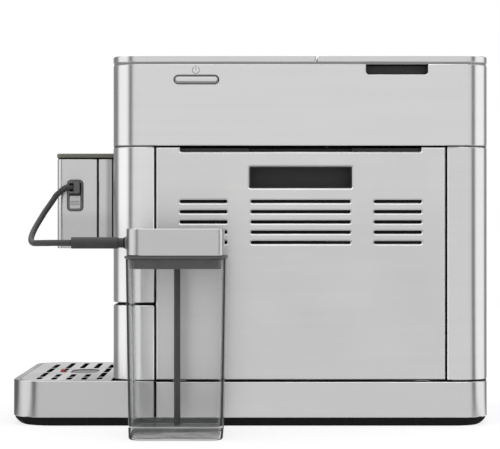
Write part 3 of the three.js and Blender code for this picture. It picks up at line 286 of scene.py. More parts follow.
def moulded(name, colour, roughness, skin=2600, depth=0.00002, coat=0.0, gloss=0.5):
    s = mouldedSettings

    def build(shade):
        pebbles = shade.noise(skin, detail=1.0)
        flow = shade.noise(s["flow"], detail=3.0)
        matt = roughness - (s["flowMatt"] + s["pebbleMatt"]) / 2
        tones = toned(colour, 1 - s["change"]), toned(colour, 1 + s["change"])
        return {
            "Base Color": shade.mixColours(flow, *tones),
            "Roughness": matt + flow * s["flowMatt"] + pebbles * s["pebbleMatt"],
            "Specular IOR Level": gloss,
            "Coat Weight": coat,
            "Coat Roughness": s["coatRoughness"],
            "Normal": shade.bump(pebbles, s["strength"], depth),
        }

    return makeFinish(name, build)


# Clear walls: seen straight on they let the light through, and towards their outlines they darken
clearSettings = {"flow": (9, 9, 30), "ripples": (40, 40, 260), "change": 0.06, "flowMatt": 0.02}


def clearWall(name, colour, cover, roughness=0.06, gloss=0.5, waves=0.0, fade=("Z", 0, 1, 1.0)):
    s = clearSettings

    def build(shade):
        slope = shade.node("ShaderNodeLayerWeight", None, {"Blend": 0.5}, output="Facing")
        flow = shade.noise(s["flow"])
        waved = (shade.noise(s["ripples"]) - 0.5) * waves
        tones = toned(colour, 1 - s["change"]), toned(colour, 1 + s["change"])
        return {
            "Base Color": shade.mixColours(flow, *tones),
            "Roughness": roughness + flow * s["flowMatt"],
            "Specular IOR Level": gloss,
            "Alpha": (shade.ramp(slope, *cover) + waved) * shade.between(*fade, 1.0),
        }

    return makeFinish(name, build)


# Circuit board: green lacquer with bricks of copper tracks under it
boardSettings = {
    "tracks": {"Scale": 260.0, "Mortar Size": 0.06, "Brick Width": 1.7, "Row Height": 0.6},
    "green": ((0.03, 0.11, 0.05, 1), (0.09, 0.22, 0.1, 1)),
    "roughness": 0.42,
    "trackGloss": 0.12,
    "lacquer": 0.3,
    "relief": (0.5, 0.00004),
}


def circuitBoard(name):
    s = boardSettings

    def build(shade):
        inputs = {"Vector": shade.ownPlace(), **s["tracks"]}
        tracks = shade.node("ShaderNodeTexBrick", {"offset": 0.5}, inputs, output="Fac")
        return {
            "Base Color": shade.mixColours(tracks, *s["green"]),
            "Roughness": s["roughness"] - tracks * s["trackGloss"],
            "Coat Weight": s["lacquer"],
            "Normal": shade.bump(tracks, *s["relief"]),
        }

    return makeFinish(name, build)


finishes = {
    "steel": brushedSteel("sideSteel", 0.645),
    "steelTop": brushedSteel("topSteel", 0.62, across="XZ"),
    # Painted shade: darker steel for the lids' level tops
    "steelCrownShade": brushedSteel("crownShadeSteel", 0.47, across="XZ", spread=0.0),
    # Painted light: the door's steel is lighter towards its top
    "steelDoor": brushedSteel("doorSteel", 0.58, cloudy=4.0, paintedLightFades=[("Z", 190, 245, 1.07)]),
    "steelRear": brushedSteel("rearSteel", 0.615, cloudy=2.0),
    # Painted light and shade: the front's steel is lighter by the corner on the door's side and darker across
    # the front
    "steelFront": brushedSteel("frontSteel", 0.705, cloudy=2.0, paintedLightFades=[("X", 60, 35, 0.88)]),
    "steelPlinth": brushedSteel("plinthSteel", 0.58, cloudy=2.0),
    # Painted shade: the tray skirt's steel is much darker at its front end
    "steelTray": brushedSteel("traySteel", 0.5, cloudy=2.0, paintedLightFades=[("Y", -227, -238, 0.45)]),
    # Painted shade: the spouts' steel is darker low down and towards the rear
    "steelSpout": brushedSteel("spoutSteel", 0.56, tint=(1, 1, 1),
                               paintedLightFades=[("Z", 222, 203, 0.87), ("Y", -153, -148.6, 0.62)]),
    "steelGrate": brushedSteel("grateSteel", 0.5, across="X"),
    "steelLid": brushedSteel("lidSteel", 0.51),
    # Painted highlight: near-white steel for the folds along edges and seams
    "foldHighlight": brushedSteel("foldHighlightSteel", 0.98, cloudy=0.5),
    "metal": turnedMetal("castMetal", 0.5, 0.38),
    "black": moulded("blackPlastic", 0.012, 0.55),
    "pan": moulded("panPlastic", 0.009, 0.9, gloss=0.12),
    "dark_grey": moulded("greyPlastic", 0.034, 0.5),
    "cap": moulded("capPlastic", (0.12, 0.12, 0.092), 0.42),
    "rubber": moulded("footRubber", 0.018, 0.85, skin=1500, depth=0.00005),
    "recess": moulded("recessPlastic", 0.024, 0.7),
    # Black rubber for the connector's ring, and also black as painted shade in seams, slots, pockets and gaps
    "seal": moulded("sealRubber", 0.006, 0.8, gloss=0.2),
    # Painted shade: grey put in the seams under the lids
    "gasket": moulded("gasketRubber", 0.2, 0.8),
    "hose": moulded("hoseRubber", 0.028, 0.6, skin=1900),
    "plug": moulded("plugPlastic", 0.092, 0.55),
    "port": moulded("portPlastic", 0.15, 0.5),
    # Painted shade: grey for the ring round the power button's face
    "collarShade": moulded("collarShadeGrey", 0.19, 0.5),
    "field": turnedMetal("fieldMetal", 0.14, 0.4),
    "print": moulded("printGrey", 0.15, 0.6),
    "band": moulded("bandPlastic", 0.06, 0.45),
    "glass": clearWall(
        "jugGlass", (0.08, 0.083, 0.086),
        [(0, 0.0), (0.4, 0.02), (0.7, 0.12), (0.9, 0.4), (1, 0.9)], gloss=0.3),
    "glassCorner": clearWall(
        "jugGlassCorner", (0.03, 0.032, 0.034),
        [(0, 0.0), (0.25, 0.01), (0.36, 0.12), (0.45, 0.6), (0.54, 0.98), (1, 0.99)], gloss=0.02),
    "glassInside": clearWall(
        "jugGlassInside", (0.48, 0.49, 0.5),
        [(0, 0.0), (0.3, 0.04), (0.6, 0.3), (0.85, 0.5), (1, 0.75)], gloss=0.2),
    "glassFoot": clearWall(
        "jugGlassFoot", (0.125, 0.127, 0.13), [(0, 0.5), (0.4, 0.55), (0.7, 0.65), (1, 0.8)],
        roughness=0.2, gloss=0.2, waves=1.4, fade=("Z", 3, 6, 0.6)),
    "glassFloor": clearWall(
        "jugGlassFloor", (0.15, 0.153, 0.155),
        [(0, 0.7), (0.5, 0.6), (0.9, 0.68), (1, 0.9)], gloss=0.1, waves=0.3),
    # Painted highlight: pale glass for the groove over the foot
    "glassGrooveHighlight": clearWall(
        "jugGlassGrooveHighlight", (0.75, 0.76, 0.77), [(0, 0.35), (0.3, 0.5), (1, 0.7)], gloss=0.1),
    "clear_plastic": clearWall(
        "tankPlastic", (0.5, 0.53, 0.55), [(0, 0.22), (0.6, 0.3), (0.85, 0.5), (1, 0.8)]),
    "smoked": clearWall(
        "smokedPlastic", (0.075, 0.078, 0.08), [(0, 0.82), (0.6, 0.88), (1, 0.98)], roughness=0.16),
    "red": moulded("floatPlastic", (0.3, 0.01, 0.006), 0.3, coat=0.4),
    "white": moulded("whitePlastic", (0.74, 0.74, 0.7), 0.45),
    "board": circuitBoard("circuitBoard"),
    "brass": turnedMetal("turnedBrass", (0.6, 0.43, 0.18), 0.32),
}
print("finishes made:", len(finishes))


def dressCadNodes():
    for row in frame["record"]["subparts"]:
        mesh = frame["nodes"][row["node"]].data
        mesh.materials.clear()
        mesh.materials.append(finishes[row["material_slot"]])


dressCadNodes()


# Meshes
weld = 0.004 * mm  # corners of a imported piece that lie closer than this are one
sharpFrom = 50  # degrees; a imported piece's edges are rounded from here on


def smoothed(mesh, degrees):
    mesh.polygons.foreach_set("use_smooth", [True] * len(mesh.polygons))
    mesh.set_sharp_from_angle(angle=math.radians(degrees))


def applied(piece):
    old = piece.data
    settled = piece.evaluated_get(bpy.context.evaluated_depsgraph_get())
    piece.data = bpy.data.meshes.new_from_object(settled)
    piece.modifiers.clear()
    bpy.data.meshes.remove(old)


def softenEdges(piece, width, segments, clamped):
    bevel = piece.modifiers.new("edges", "BEVEL")
    bevel.width = width * mm
    bevel.segments = segments
    bevel.limit_method = "ANGLE"
    bevel.angle_limit = math.radians(sharpFrom)
    bevel.use_clamp_overlap = clamped
    weighted = piece.modifiers.new("faces", "WEIGHTED_NORMAL")
    weighted.keep_sharp = True
    applied(piece)


def addPiece(name, mesh, finish, body, replaced=()):
    mesh.name = name
    mesh.materials.clear()
    mesh.materials.append(finishes[finish])
    piece = bpy.data.objects.new(name, mesh)
    scene.collection.objects.link(piece)
    if body:
        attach(piece, body)
    if replaced:
        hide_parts(*replaced)
    return piece


# Further finishes on a mesh: choose gives a face its place in the list, where 0 is the first finish
def dressFaces(mesh, more, choose):
    for finish in more:
        mesh.materials.append(finishes[finish])
    for polygon in mesh.polygons:
        polygon.material_index = choose(polygon)


def bodyOf(node):
    return next(name for name, nodes in frame["record"]["behaviour"]["bodies"].items() if node in nodes)


def weldedCopy(node):
    work = bmesh.new()
    work.from_mesh(frame["nodes"][node].data)
    bmesh.ops.remove_doubles(work, verts=work.verts, dist=weld)
    return work


def settle(work, mesh):
    work.to_mesh(mesh)
    work.free()
    return mesh


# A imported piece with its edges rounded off; its flat faces are joined first
def roundedCopy(name, node, finish, width, segments=2, clamped=False, flat=False):
    work = weldedCopy(node)
    bmesh.ops.dissolve_limit(work, angle_limit=math.radians(0.8), verts=work.verts, edges=work.edges)
    mesh = settle(work, bpy.data.meshes.new(name))
    smoothed(mesh, sharpFrom)
    piece = addPiece(name, mesh, finish, bodyOf(node), [node])
    softenEdges(piece, width, segments, clamped)
    if flat:
        smoothed(piece.data, 30)


def meshOf(name, points, faces, degrees):
    mesh = bpy.data.meshes.new(name)
    mesh.from_pydata([Vector(p) * mm for p in points], [], faces)
    mesh.validate()
    smoothed(mesh, degrees)
    return mesh


def facedOut(mesh):
    work = bmesh.new()
    work.from_mesh(mesh)
    bmesh.ops.recalc_face_normals(work, faces=work.faces)
    return settle(work, mesh)


# Faces between two rings, given by the numbers of their first points
def ringFaces(low, high, count):
    return [(low + i, low + (i + 1) % count, high + (i + 1) % count, high + i) for i in range(count)]


# Rings of points joined into closed skins, each with a lid on both ends or joined to a loop
def loftMesh(name, *skins, degrees=40, closedLoop=False):
    points, faces = [], []
    for rings in skins:
        count, start, last = len(rings[0]), len(points), len(rings) - 1
        points += [p for ring in rings for p in ring]
        for a, b in [(i, i + 1) for i in range(last)] + [(last, 0)] * closedLoop:
            faces += ringFaces(start + a * count, start + b * count, count)
        if not closedLoop:
            faces.append(tuple(reversed(range(start, start + count))))
            faces.append(tuple(range(start + last * count, start + (last + 1) * count)))
    return meshOf(name, points, faces, degrees)


# Level ring with rounded corners; the rear ones may have a radius of their own
def cornerRing(x, y, radius, z, steps=10, rear=None):
    radius = max(radius, 0.05)
    rear = rear or radius
    corners = [(x[1] - radius, y[0] + radius, radius), (x[1] - rear, y[1] - rear, rear),
               (x[0] + rear, y[1] - rear, rear), (x[0] + radius, y[0] + radius, radius)]
    ring = []
    for corner, (cx, cy, radius) in enumerate(corners):
        for step in range(steps + 1):
            angle = (corner - 1 + step / steps) * math.pi / 2
            ring.append((cx + radius * math.cos(angle), cy + radius * math.sin(angle), z))
    return ring


def boxOf(node):
    low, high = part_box(node)
    return [(low[i] / mm, high[i] / mm) for i in range(3)]


def inset(pair, by):
    return (pair[0] + by, pair[1] - by)


# Upright dark bar between two heights, its ends drawn in by a small fold; such bars stand behind gaps as
# painted shade
def addBar(name, x, y, z, radius, fold, body):
    levels = ((fold, z[0]), (0, z[0] + fold), (0, z[1] - fold), (fold, z[1]))
    rings = [cornerRing(inset(x, by), inset(y, by), radius - by, level, 3) for by, level in levels]
    addPiece(name, loftMesh(name, rings), "seal", body)


def quarter(count):
    return [math.pi / 2 * i / count for i in range(count + 1)]


# Quarter round as pairs of distances, from its side and from its top
def quarterRound(radius, count):
    return [(radius * (1 - math.cos(a)), radius * (1 - math.sin(a))) for a in quarter(count)]


# Tube round a path: each ring is turned as little as possible from the one before
def tubeMesh(name, path, radius, sides):
    points = [Vector(p) for p in path]
    tangents = [(points[min(i + 1, len(points) - 1)] - points[max(i - 1, 0)]).normalized()
                for i in range(len(points))]
    up = Vector((0, 0, 1)).cross(tangents[0]).normalized()
    rings = []
    turns = [2 * math.pi * i / sides for i in range(sides)]
    for point, tangent in zip(points, tangents):
        up = (up - tangent * up.dot(tangent)).normalized()
        side = tangent.cross(up)
        rings.append([point + radius * (up * math.cos(a) + side * math.sin(a)) for a in turns])
    return loftMesh(name, rings, degrees=60)


# Milk hose from its plug on the spouts to the connector on the container's lid, in three lengths
hoseSettings = {
    "diameter": 6,
    "plugMouth": (-23.5, -198.43, 236.09),
    "plugDip": 41,  # degrees
    "connectorMouth": (166.0, -170.9, 183.8),
    "between": [
        (-22.5, -205.7, 227.8), (-18.5, -210, 221), (-12, -213.9, 214.4), (-3.5, -216.9, 208.1),
        (8, -219.5, 201.8), (22, -221.2, 196), (39, -221.6, 190.9), (58, -220.5, 187.2),
        (78.5, -218, 184.8), (99, -214.6, 183.6), (121.5, -210.9, 183.3), (134.5, -208.2, 183.3),
        (143.8, -205.9, 183.4), (151, -202.9, 183.5), (157.2, -198.1, 183.6), (162, -191.9, 183.7),
        (165, -184.7, 183.8),
    ],
    "stepsPerSpan": 8,
    "sides": 28,
    "lengths": ["hosePlugEnd", "hoseMiddle", "hoseConnectorEnd"],
    "bodies": ["spout", "machine", "container", "container_lid"],  # at the ends of the lengths
}


# Smooth path through the points, with knots by the root of their distance
def catmullRom(points, stepsPerSpan):
    ends = [points[0] * 2 - points[1], *points, points[-1] * 2 - points[-2]]
    path = []
    for p0, p1, p2, p3 in zip(ends, ends[1:], ends[2:], ends[3:]):
        knots = [0]
        for a, b in ((p0, p1), (p1, p2), (p2, p3)):
            knots.append(knots[-1] + (b - a).length ** 0.5)
        for step in range(stepsPerSpan):
            t = knots[1] + (knots[2] - knots[1]) * step / stepsPerSpan
            a1 = p0.lerp(p1, (t - knots[0]) / (knots[1] - knots[0]))
            a2 = p1.lerp(p2, (t - knots[1]) / (knots[2] - knots[1]))
            a3 = p2.lerp(p3, (t - knots[2]) / (knots[3] - knots[2]))
            b1 = a1.lerp(a2, (t - knots[0]) / (knots[2] - knots[0]))
            b2 = a2.lerp(a3, (t - knots[1]) / (knots[3] - knots[1]))
            path.append(b1.lerp(b2, (t - knots[1]) / (knots[2] - knots[1])))
    return [*path, points[-1]]


def makeHose(s):
    dip = math.radians(s["plugDip"])
    plug = Vector(s["plugMouth"])
    connector = Vector(s["connectorMouth"])
    route = [plug, plug + Vector((0, -math.cos(dip), -math.sin(dip))) * s["diameter"],
             *map(Vector, s["between"]), connector - Vector((0, s["diameter"], 0)), connector]
    path = catmullRom(route, s["stepsPerSpan"])
    along = [0]
    for a, b in zip(path, path[1:]):
        along.append(along[-1] + (b - a).length)
    shares = [i / len(s["lengths"]) for i in range(len(s["lengths"]) + 1)]
    cuts = [min(range(len(path)), key=lambda i: abs(along[i] - along[-1] * share)) for share in shares]
    for i, name in enumerate(s["lengths"]):
        start, end = cuts[i], cuts[i + 1]
        part = path[start:end + 1]
        mesh = tubeMesh(name, part, s["diameter"] / 2, s["sides"])
        piece = addPiece(name, mesh, "hose", None, ["milk_hose"])
        part[0] * mm
        part[-1] * mm
        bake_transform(piece)
        part[0] * mm
        [p * mm for p in part]
    print("hose length:", round(along[-1], 1), "mm")


makeHose(hoseSettings)


# Steel shells, lids, base and grate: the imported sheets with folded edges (name, finish, fold)
shellSettings = {
    "upper_shell": ("upperShell", "steel", 0.7),
    "rear_shell": ("rearShell", "steelRear", 0.7),
    "front_fascia": ("frontFascia", "steelFront", 0.7),
    "grounds_front": ("groundsFront", "steelFront", 0.7),
    "left_panel": ("leftPanel", "steelDoor", 0.8),
    "base_plinth": ("basePlinth", "steelPlinth", 0.6),
    "tray_skirt": ("traySkirt", "steelTray", 0.6),
    "front_top_cover": ("frontTopCover", "steelTop", 0.7),
    "tank_lid": ("tankLid", "steelTop", 0.7),
    "drip_grate": ("dripGrate", "steelGrate", 0.4),
}


def makeShells(settings):
    for node, (name, finish, width) in settings.items():
        roundedCopy(name, node, finish, width, segments=1, flat=True)


makeShells(shellSettings)


levelFrom = 0.9  # a face is taken as level where its normal rises this far


# A level face keeps its own normal out to its edges, so a wide lid shades evenly
def levelNormals(mesh, quiteLevel=0.999):
    normals = [corner.vector.copy() for corner in mesh.corner_normals]
    for polygon in mesh.polygons:
        if abs(polygon.normal.z) > quiteLevel:
            for corner in polygon.loop_indices:
                normals[corner] = polygon.normal.copy()
    mesh.normals_split_custom_set(normals)


# The level tops of both lids get darker steel than their skirts, as painted shade, and the gap's slanted edge
# gets near-white steel, as a painted highlight
crownSettings = {"gapLean": 0.3, "gapReach": 6}


def dressCrowns(s):
    gapStart = (boxOf("front_top_cover")[1][1] - s["gapReach"]) * mm
    for name in ("frontTopCover", "tankLid"):
        def choose(face):
            inGap = name == "frontTopCover" and face.normal.y > s["gapLean"] and face.center.y > gapStart
            return 2 if inGap else int(abs(face.normal.z) > levelFrom)

        mesh = scene.objects[name].data
        dressFaces(mesh, ["steelCrownShade", "foldHighlight"], choose)
        levelNormals(mesh)


dressCrowns(crownSettings)


# Folds along the edges of the side's openings and seams get near-white steel, as a painted highlight
foldSettings = {
    "face": 72.4,  # folds lie beyond this level on the door's side
    "lean": (0.35, 0.95),  # of a fold's normal along X
    "rise": 0.3,  # of an upper fold's normal
    "endLean": 0.5,  # of the normal along Y at a piece's ends
    "endReach": 3,
    "pieces": ["serviceDoor", "rearShell", "frontFascia", "groundsFront", "basePlinth", "upperShell"],
}


def paintFoldHighlights(s):
    least, most = s["lean"]
    for name in s["pieces"]:
        mesh = scene.objects[name].data
        ends = [min(v.co.y for v in mesh.vertices), max(v.co.y for v in mesh.vertices)]

        def choose(face):
            nearEnd = min(abs(face.center.y - end) for end in ends) < s["endReach"] * mm
            turned = face.normal.z > s["rise"] or (nearEnd and abs(face.normal.y) > s["endLean"])
            return int(turned and least < abs(face.normal.x) < most and face.center.x > s["face"] * mm)

        dressFaces(mesh, ["foldHighlight"], choose)


# The walls of the grate's slots and of its outline are black, as painted shade, and its sunk field is darker
# metal
grateSettings = {"fieldDrop": 0.25}


def darkenSlots(s):
    field = (boxOf("drip_grate")[2][1] - s["fieldDrop"]) * mm

    def choose(face):
        sunk = face.normal.z > levelFrom and face.center.z < field
        return 2 if sunk else int(abs(face.normal.z) < levelFrom)

    dressFaces(scene.objects["dripGrate"].data, ["seal", "field"], choose)


darkenSlots(grateSettings)


# Service door: a plate with a notch, a pocket's hole and slots, all with a small flat fold
doorSettings = {
    "height": 232.4,
    "thick": 2.5,
    "fold": 1.5,
    "raised": 0.6,
    "notch": ((-70.2, 171.7), 274.2, 2.0),  # span, foot, radius
    "notchSteps": 6,
    "pocket": ((-0.75, 102.25), (237.7, 259.6), 1.5),
    "slotSpans": [(-70.3, -22.7), (0.8, 100.7), (124.2, 171.8)],
    "slotTop": 226.2,
    "slotHeight": 3.2,
    "slotPitch": 10.25,
    "slotRows": 5,
}


# Flat outline moved inwards, its corners mitred
def offsetLoop(loop, by, steepest=0.3):
    moved = []
    for before, here, after in zip(loop[-1:] + loop[:-1], loop, loop[1:] + loop[:1]):
        a, b = (Vector(here) - Vector(before)).normalized(), (Vector(after) - Vector(here)).normalized()
        inward = Vector((-a.y - b.y, a.x + b.x)).normalized()
        moved.append(Vector(here) + inward * by / max(steepest, math.sqrt((1 + a.dot(b)) / 2)))
    return moved


# Upright plate with holes: the first loop is its outline, and its outer edges have a flat fold
def plateMesh(name, loops, x, fold):
    points, faces, lids = [], [], [[], []]
    for loop in loops:
        count, start = len(loop), len(points)
        folded = offsetLoop(loop, fold)
        for level, outline in ((x[0], loop), (x[1] - fold, loop), (x[1], folded)):
            points += [(level, a, b) for a, b in outline]
        for low in (start, start + count):
            faces += ringFaces(low, low + count, count)
        lids[0].append((start, loop))
        lids[1].append((start + 2 * count, folded))
    for lid in lids:
        index = [start + i for start, outline in lid for i in range(len(outline))]
        flat = [[Vector((a, b, 0)) for a, b in outline] for _, outline in lid]
        faces += [tuple(index[i] for i in triangle) for triangle in tessellate_polygon(flat)]
    return facedOut(meshOf(name, points, faces, degrees=30))


def makeDoor(s):
    _, y, z = boxOf("service_door")
    face = boxOf("upper_shell")[0][1]
    x = (face - s["thick"], face)
    z = (z[1] - s["height"], z[1] + s["raised"])
    (n0, n1), foot, radius = s["notch"]
    notch = [(n0, z[1])]
    for cy, start in ((n0 + radius, math.pi), (n1 - radius, 1.5 * math.pi)):
        notch += [(cy + radius * math.cos(start + a), foot + radius + radius * math.sin(start + a))
                  for a in quarter(s["notchSteps"])]
    notch.append((n1, z[1]))
    outer = [(y[0], z[0]), (y[1], z[0]), (y[1], z[1]), *reversed(notch), (y[0], z[1])]
    rings = [cornerRing(*s["pocket"], 0, 5)]
    for span in s["slotSpans"]:
        for row in range(s["slotRows"]):
            top = s["slotTop"] - row * s["slotPitch"]
            rings.append(cornerRing(span, (top - s["slotHeight"], top), s["slotHeight"] / 2 - 0.02, 0, 6))
    holes = [[(a, b) for a, b, _ in reversed(ring)] for ring in rings]
    mesh = plateMesh("serviceDoor", [outer, *holes], x, s["fold"])
    addPiece("serviceDoor", mesh, "steelDoor", "door", ["service_door"])
    hooks = weldedCopy("service_door")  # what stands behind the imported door's plate
    plate = [face for face in hooks.faces if face.calc_center_median().x > (x[0] - 0.05) * mm]
    bmesh.ops.delete(hooks, geom=plate, context="FACES")
    bmesh.ops.holes_fill(hooks, edges=hooks.edges)
    mesh = facedOut(settle(hooks, bpy.data.meshes.new("doorHooks")))
    addPiece("doorHooks", mesh, "steelDoor", "door", ["service_door"])


makeDoor(doorSettings)
paintFoldHighlights(foldSettings)


# Dark bands in the seams between the steel parts, and dark bars behind the door's edges, the grip's gap and
# the slots: all painted shade
seamShadeSettings = {
    "caseCorner": 30,
    "cornerSteps": 8,
    "lid": (0.7, 3.8),  # painted shade under the lids, inward from the case's outline
    "wall": (0.5, 2.3),  # strips between the shells, likewise
    "seals": [  # name, kind, Z, corners it goes round, side and Y of both ends, body, finish
        ("lidSeamShadeFront", "lid", (362.06, 363.96), (3, 0), ((0, 66.4), (1, 66.4)), "machine", "gasket"),
        ("lidSeamShadeRear", "lid", (362.06, 363.96), (1, 2), ((1, 66.4), (0, 66.4)), "tank_cover", "gasket"),
        ("shellSeamShade", "wall", (279.3, 280.4), (1, 2, 3, 0), ((1, 197.5), (1, -96)), "machine", "band"),
        ("plinthSeamShade", "wall", (44.05, 45.2), (1, 2), ((1, -94), (0, -94)), "machine", "seal"),
        ("traySeamShade", "wall", (45.1, 45.7), (3, 0), ((0, -96), (1, -96)), "tray", "seal"),
    ],
    "stripDeep": (3.6, 7.0),  # behind the face of the panels
    "stripWidth": 6,
    "stripMiddles": {"Front": -95, "Rear": 196.5},
    "stripHeights": (46.4, 277.6),
    "gripGapBar": ((50, 52), (-92, 193), (264, 290)),
    "slotBackBar": ((68.3, 69.3), (-76, 178), (179, 230)),
}


# Path round corners of the case: 0 is front right, then rear right, rear left and front left
def casePath(s, inward, corners, ends):
    x, y, _ = boxOf("upper_shell")
    ring = cornerRing(inset(x, inward), inset(y, inward), s["caseCorner"] - inward, 0, s["cornerSteps"])
    count = s["cornerSteps"] + 1
    path = [p[:2] for corner in corners for p in ring[corner * count:(corner + 1) * count]]
    start, end = ((inset(x, inward)[side], level) for side, level in ends)
    return [start, *path, end]


def makeSeamShades(s):
    for name, kind, (low, high), corners, ends, body, finish in s["seals"]:
        outer, inner = (casePath(s, inward, corners, ends) for inward in s[kind])
        rings = [[(*a, low), (*b, low), (*b, high), (*a, high)] for a, b in zip(outer, inner)]
        addPiece(name, facedOut(loftMesh(name, rings, degrees=30)), finish, body)
    x0, x1 = boxOf("upper_shell")[0]
    near, deep = s["stripDeep"]
    for name, x in (("Right", (x1 - deep, x1 - near)), ("Left", (x0 + near, x0 + deep))):
        for place, middle in s["stripMiddles"].items():
            y = (middle - s["stripWidth"] / 2, middle + s["stripWidth"] / 2)
            addBar("strip" + name + place, x, y, s["stripHeights"], 0.8, 0.5, "machine")
    addBar("gripGapShade", *s["gripGapBar"], 0.8, 0.5, "machine")
    addBar("slotBackShade", *s["slotBackBar"], 0.5, 0.3, "door")


makeSeamShades(seamShadeSettings)


# Moulded covers and small fittings (name, finish, slot, fold)
fittingSettings = {
    "door_grip": ("doorGrip", "dark_grey", "dark_grey", 0.5),
    "door_pocket": ("doorPocket", "recess", "dark_grey", 0.6),
    "lid_finger_cup": ("lidFingerCup", "dark_grey", "dark_grey", 0.5),
    "power_button": ("powerButton", "collarShade", "steel", 0.5),
    "spout_front": ("spoutFront", "steelSpout", "steel", 0.5),
    "spout_rear": ("spoutRear", "steelSpout", "steel", 0.5),
    "spout_carriage": ("spoutCarriage", "black", "black", 0.4),
    "coffee_outlets": ("coffeeOutlets", "black", "black", 0.4),
    "milk_outlet": ("milkOutlet", "white", "white", 0.4),
    "milk_port": ("milkPort", "port", "dark_grey", 0.4),
    "milk_plug": ("milkPlug", "plug", "hose", 0.3),
    "release_tab": ("releaseTab", "metal", "metal", 0.3),
    "hose_connector": ("hoseConnector", "hose", "hose", 0.5),
    "suction_tube": ("suctionTube", "dark_grey", "dark_grey", 0.4),
    "tray_float": ("trayFloat", "red", "red", 0.5),
    "drip_tray": ("dripTray", "black", "black", 0.5),
    "hopper_lid": ("hopperLid", "smoked", "smoked", 0.6),
    "grind_dial": ("grindDial", "dark_grey", "dark_grey", 0.3),
    "mains_inlet": ("mainsInlet", "black", "black", 0.4),
    "display_glass": ("displayGlass", "smoked", "smoked", 0.4),
}


def makeFittings(settings):
    for node, (name, finish, slot, width) in settings.items():
        roundedCopy(name, node, finish, width, clamped=True)


makeFittings(fittingSettings)


# Small shifts of edges
edgeSettings = {
    "setBack": ("doorPocket", 71.7),  # rim of the cup, behind the fold of the door
    "raised": [("frontFascia", 277.0, 0.9), ("rearShell", 277.0, 0.9)],  # above a level, by so much
}


def shiftEdges(s):
    name, limit = s["setBack"]
    for vertex in scene.objects[name].data.vertices:
        vertex.co.x = min(vertex.co.x, limit * mm)
    for name, level, by in s["raised"]:
        for vertex in scene.objects[name].data.vertices:
            if vertex.co.z > level * mm:
                vertex.co.z += by * mm


shiftEdges(edgeSettings)
print("packed pieces dressed")


# Face of the power button inside its grey collar, whose ring, wider at its foot, is painted shade round the
# face
buttonSettings = {
    "hidden": 1.6,  # flange of the collar, behind the shell
    "rim": 1.5,
    "footRim": 2.4,
    "low": 73.2,
    "high": 74.15,
    "fold": 0.35,
    "firstFold": 0.1,
}


def makeButtonFace(s):
    _, y, z = boxOf("power_button")
    y = inset(y, s["hidden"] + s["rim"])
    z = (z[0] + s["hidden"] + s["footRim"], z[1] - s["hidden"] - s["rim"])
    high, fold, first = s["high"], s["fold"], s["firstFold"]
    rings = []
    for by, x in ((0, s["low"]), (0, high - fold), (first, high - first), (fold, high)):
        ring = cornerRing(inset(y, by), inset(z, by), (z[1] - z[0]) / 2 - by - 0.01, 0, 12)
        rings.append([(x, a, b) for a, b, _ in ring])
    addPiece("powerFace", loftMesh("powerFace", rings), "steel", "button")


# Cap of the spouts: a skirt drawn in at the foot, and a rounded top edge; the skirt is black, as painted
# shade in the gap under the cap
capSettings = {
    "corner": 7.5,
    "rise": 0.6,
    "foot": 1.3,
    "drawnIn": 1.2,
    "lip": (0.15, 0.2),  # drawn in, height
    "fold": 1.1,
    "foldSteps": 5,
}


def makeSpoutCap(s):
    x, y, z = boxOf("spout_cap")
    z = (z[0], z[1] + s["rise"])

    def ring(by, height):
        return cornerRing(inset(x, by), inset(y, by), s["corner"] - by, height)

    lip, (lipIn, lipRise) = z[0] + s["foot"], s["lip"]
    rings = [ring(s["drawnIn"], z[0]), ring(s["drawnIn"], lip), ring(lipIn, lip), ring(0, lip + lipRise)]
    rings += [ring(side, z[1] - top) for side, top in quarterRound(s["fold"], s["foldSteps"])[1:]]
    piece = addPiece("spoutCap", loftMesh("spoutCap", rings), "cap", "spout", ["spout_cap"])
    # Painted shade: the faces below the lip are black
    dressFaces(piece.data, ["seal"], lambda face: int(face.center.z < (lip + 0.01) * mm))


# Plug: its elbow is hose rubber, and its pocket and its rear edges are black, as painted shade
plugSettings = {
    "body": 11.4,  # length, from the rear
    "elbow": (8.8, 0.25),  # from both sides
    "elbowDepth": 4,
    "slant": (0.2, 0.99, 0.1),  # normal of a slanted face: least and most along X, or Y times Z
    "pocketSide": 1,
    "pocket": (0.2, 5.5),  # from the front and from the rear
    "rear": 1,
}


def dressPlug(s):
    x, y, _ = boxOf("milk_plug")
    front = y[1] - s["body"]
    low, high = x[0] + s["elbow"][0], x[1] - s["elbow"][1]
    least, most, both = s["slant"]

    def choose(face):
        middle, normal = face.center / mm, face.normal
        slanted = least < abs(normal.x) < most or abs(normal.y * normal.z) > both
        if slanted and low < middle.x < high and middle.y < front + s["elbowDepth"]:
            return 2
        deep = front + s["pocket"][0] < middle.y < y[1] - s["pocket"][1]
        inPocket = deep and low - s["pocketSide"] < middle.x < high
        return int(inPocket or middle.y > y[1] - s["rear"])

    dressFaces(scene.objects["milkPlug"].data, ["seal", "hose"], choose)


makeButtonFace(buttonSettings)
makeSpoutCap(capSettings)
dressPlug(plugSettings)


# Base pan: upright at its top edge, and drawn in round the counter's side
panSettings = {
    "front": 35.8,  # radius of the corners
    "rear": 28.8,
    "cornerSteps": 12,
    # drawn in, height
    "profile": [(12, 0.15), (9, 0.25), (6.5, 1.05), (3.8, 2.75), (1.6, 4.75), (0.4, 6.35)],
    "sideShare": 0.05,  # drawn in less at the sides than at the ends
}


def makePan(s):
    x, y, z = boxOf("base_pan")
    rings = []
    for by, height in (*s["profile"], (0, z[1])):
        front, rear = s["front"] - by / 2, s["rear"] - by / 2
        sides = inset(x, by * s["sideShare"])
        rings.append(cornerRing(sides, inset(y, by), front, height, s["cornerSteps"], rear))
    addPiece("basePan", loftMesh("basePan", rings), "pan", "machine", ["base_pan"])


makePan(panSettings)


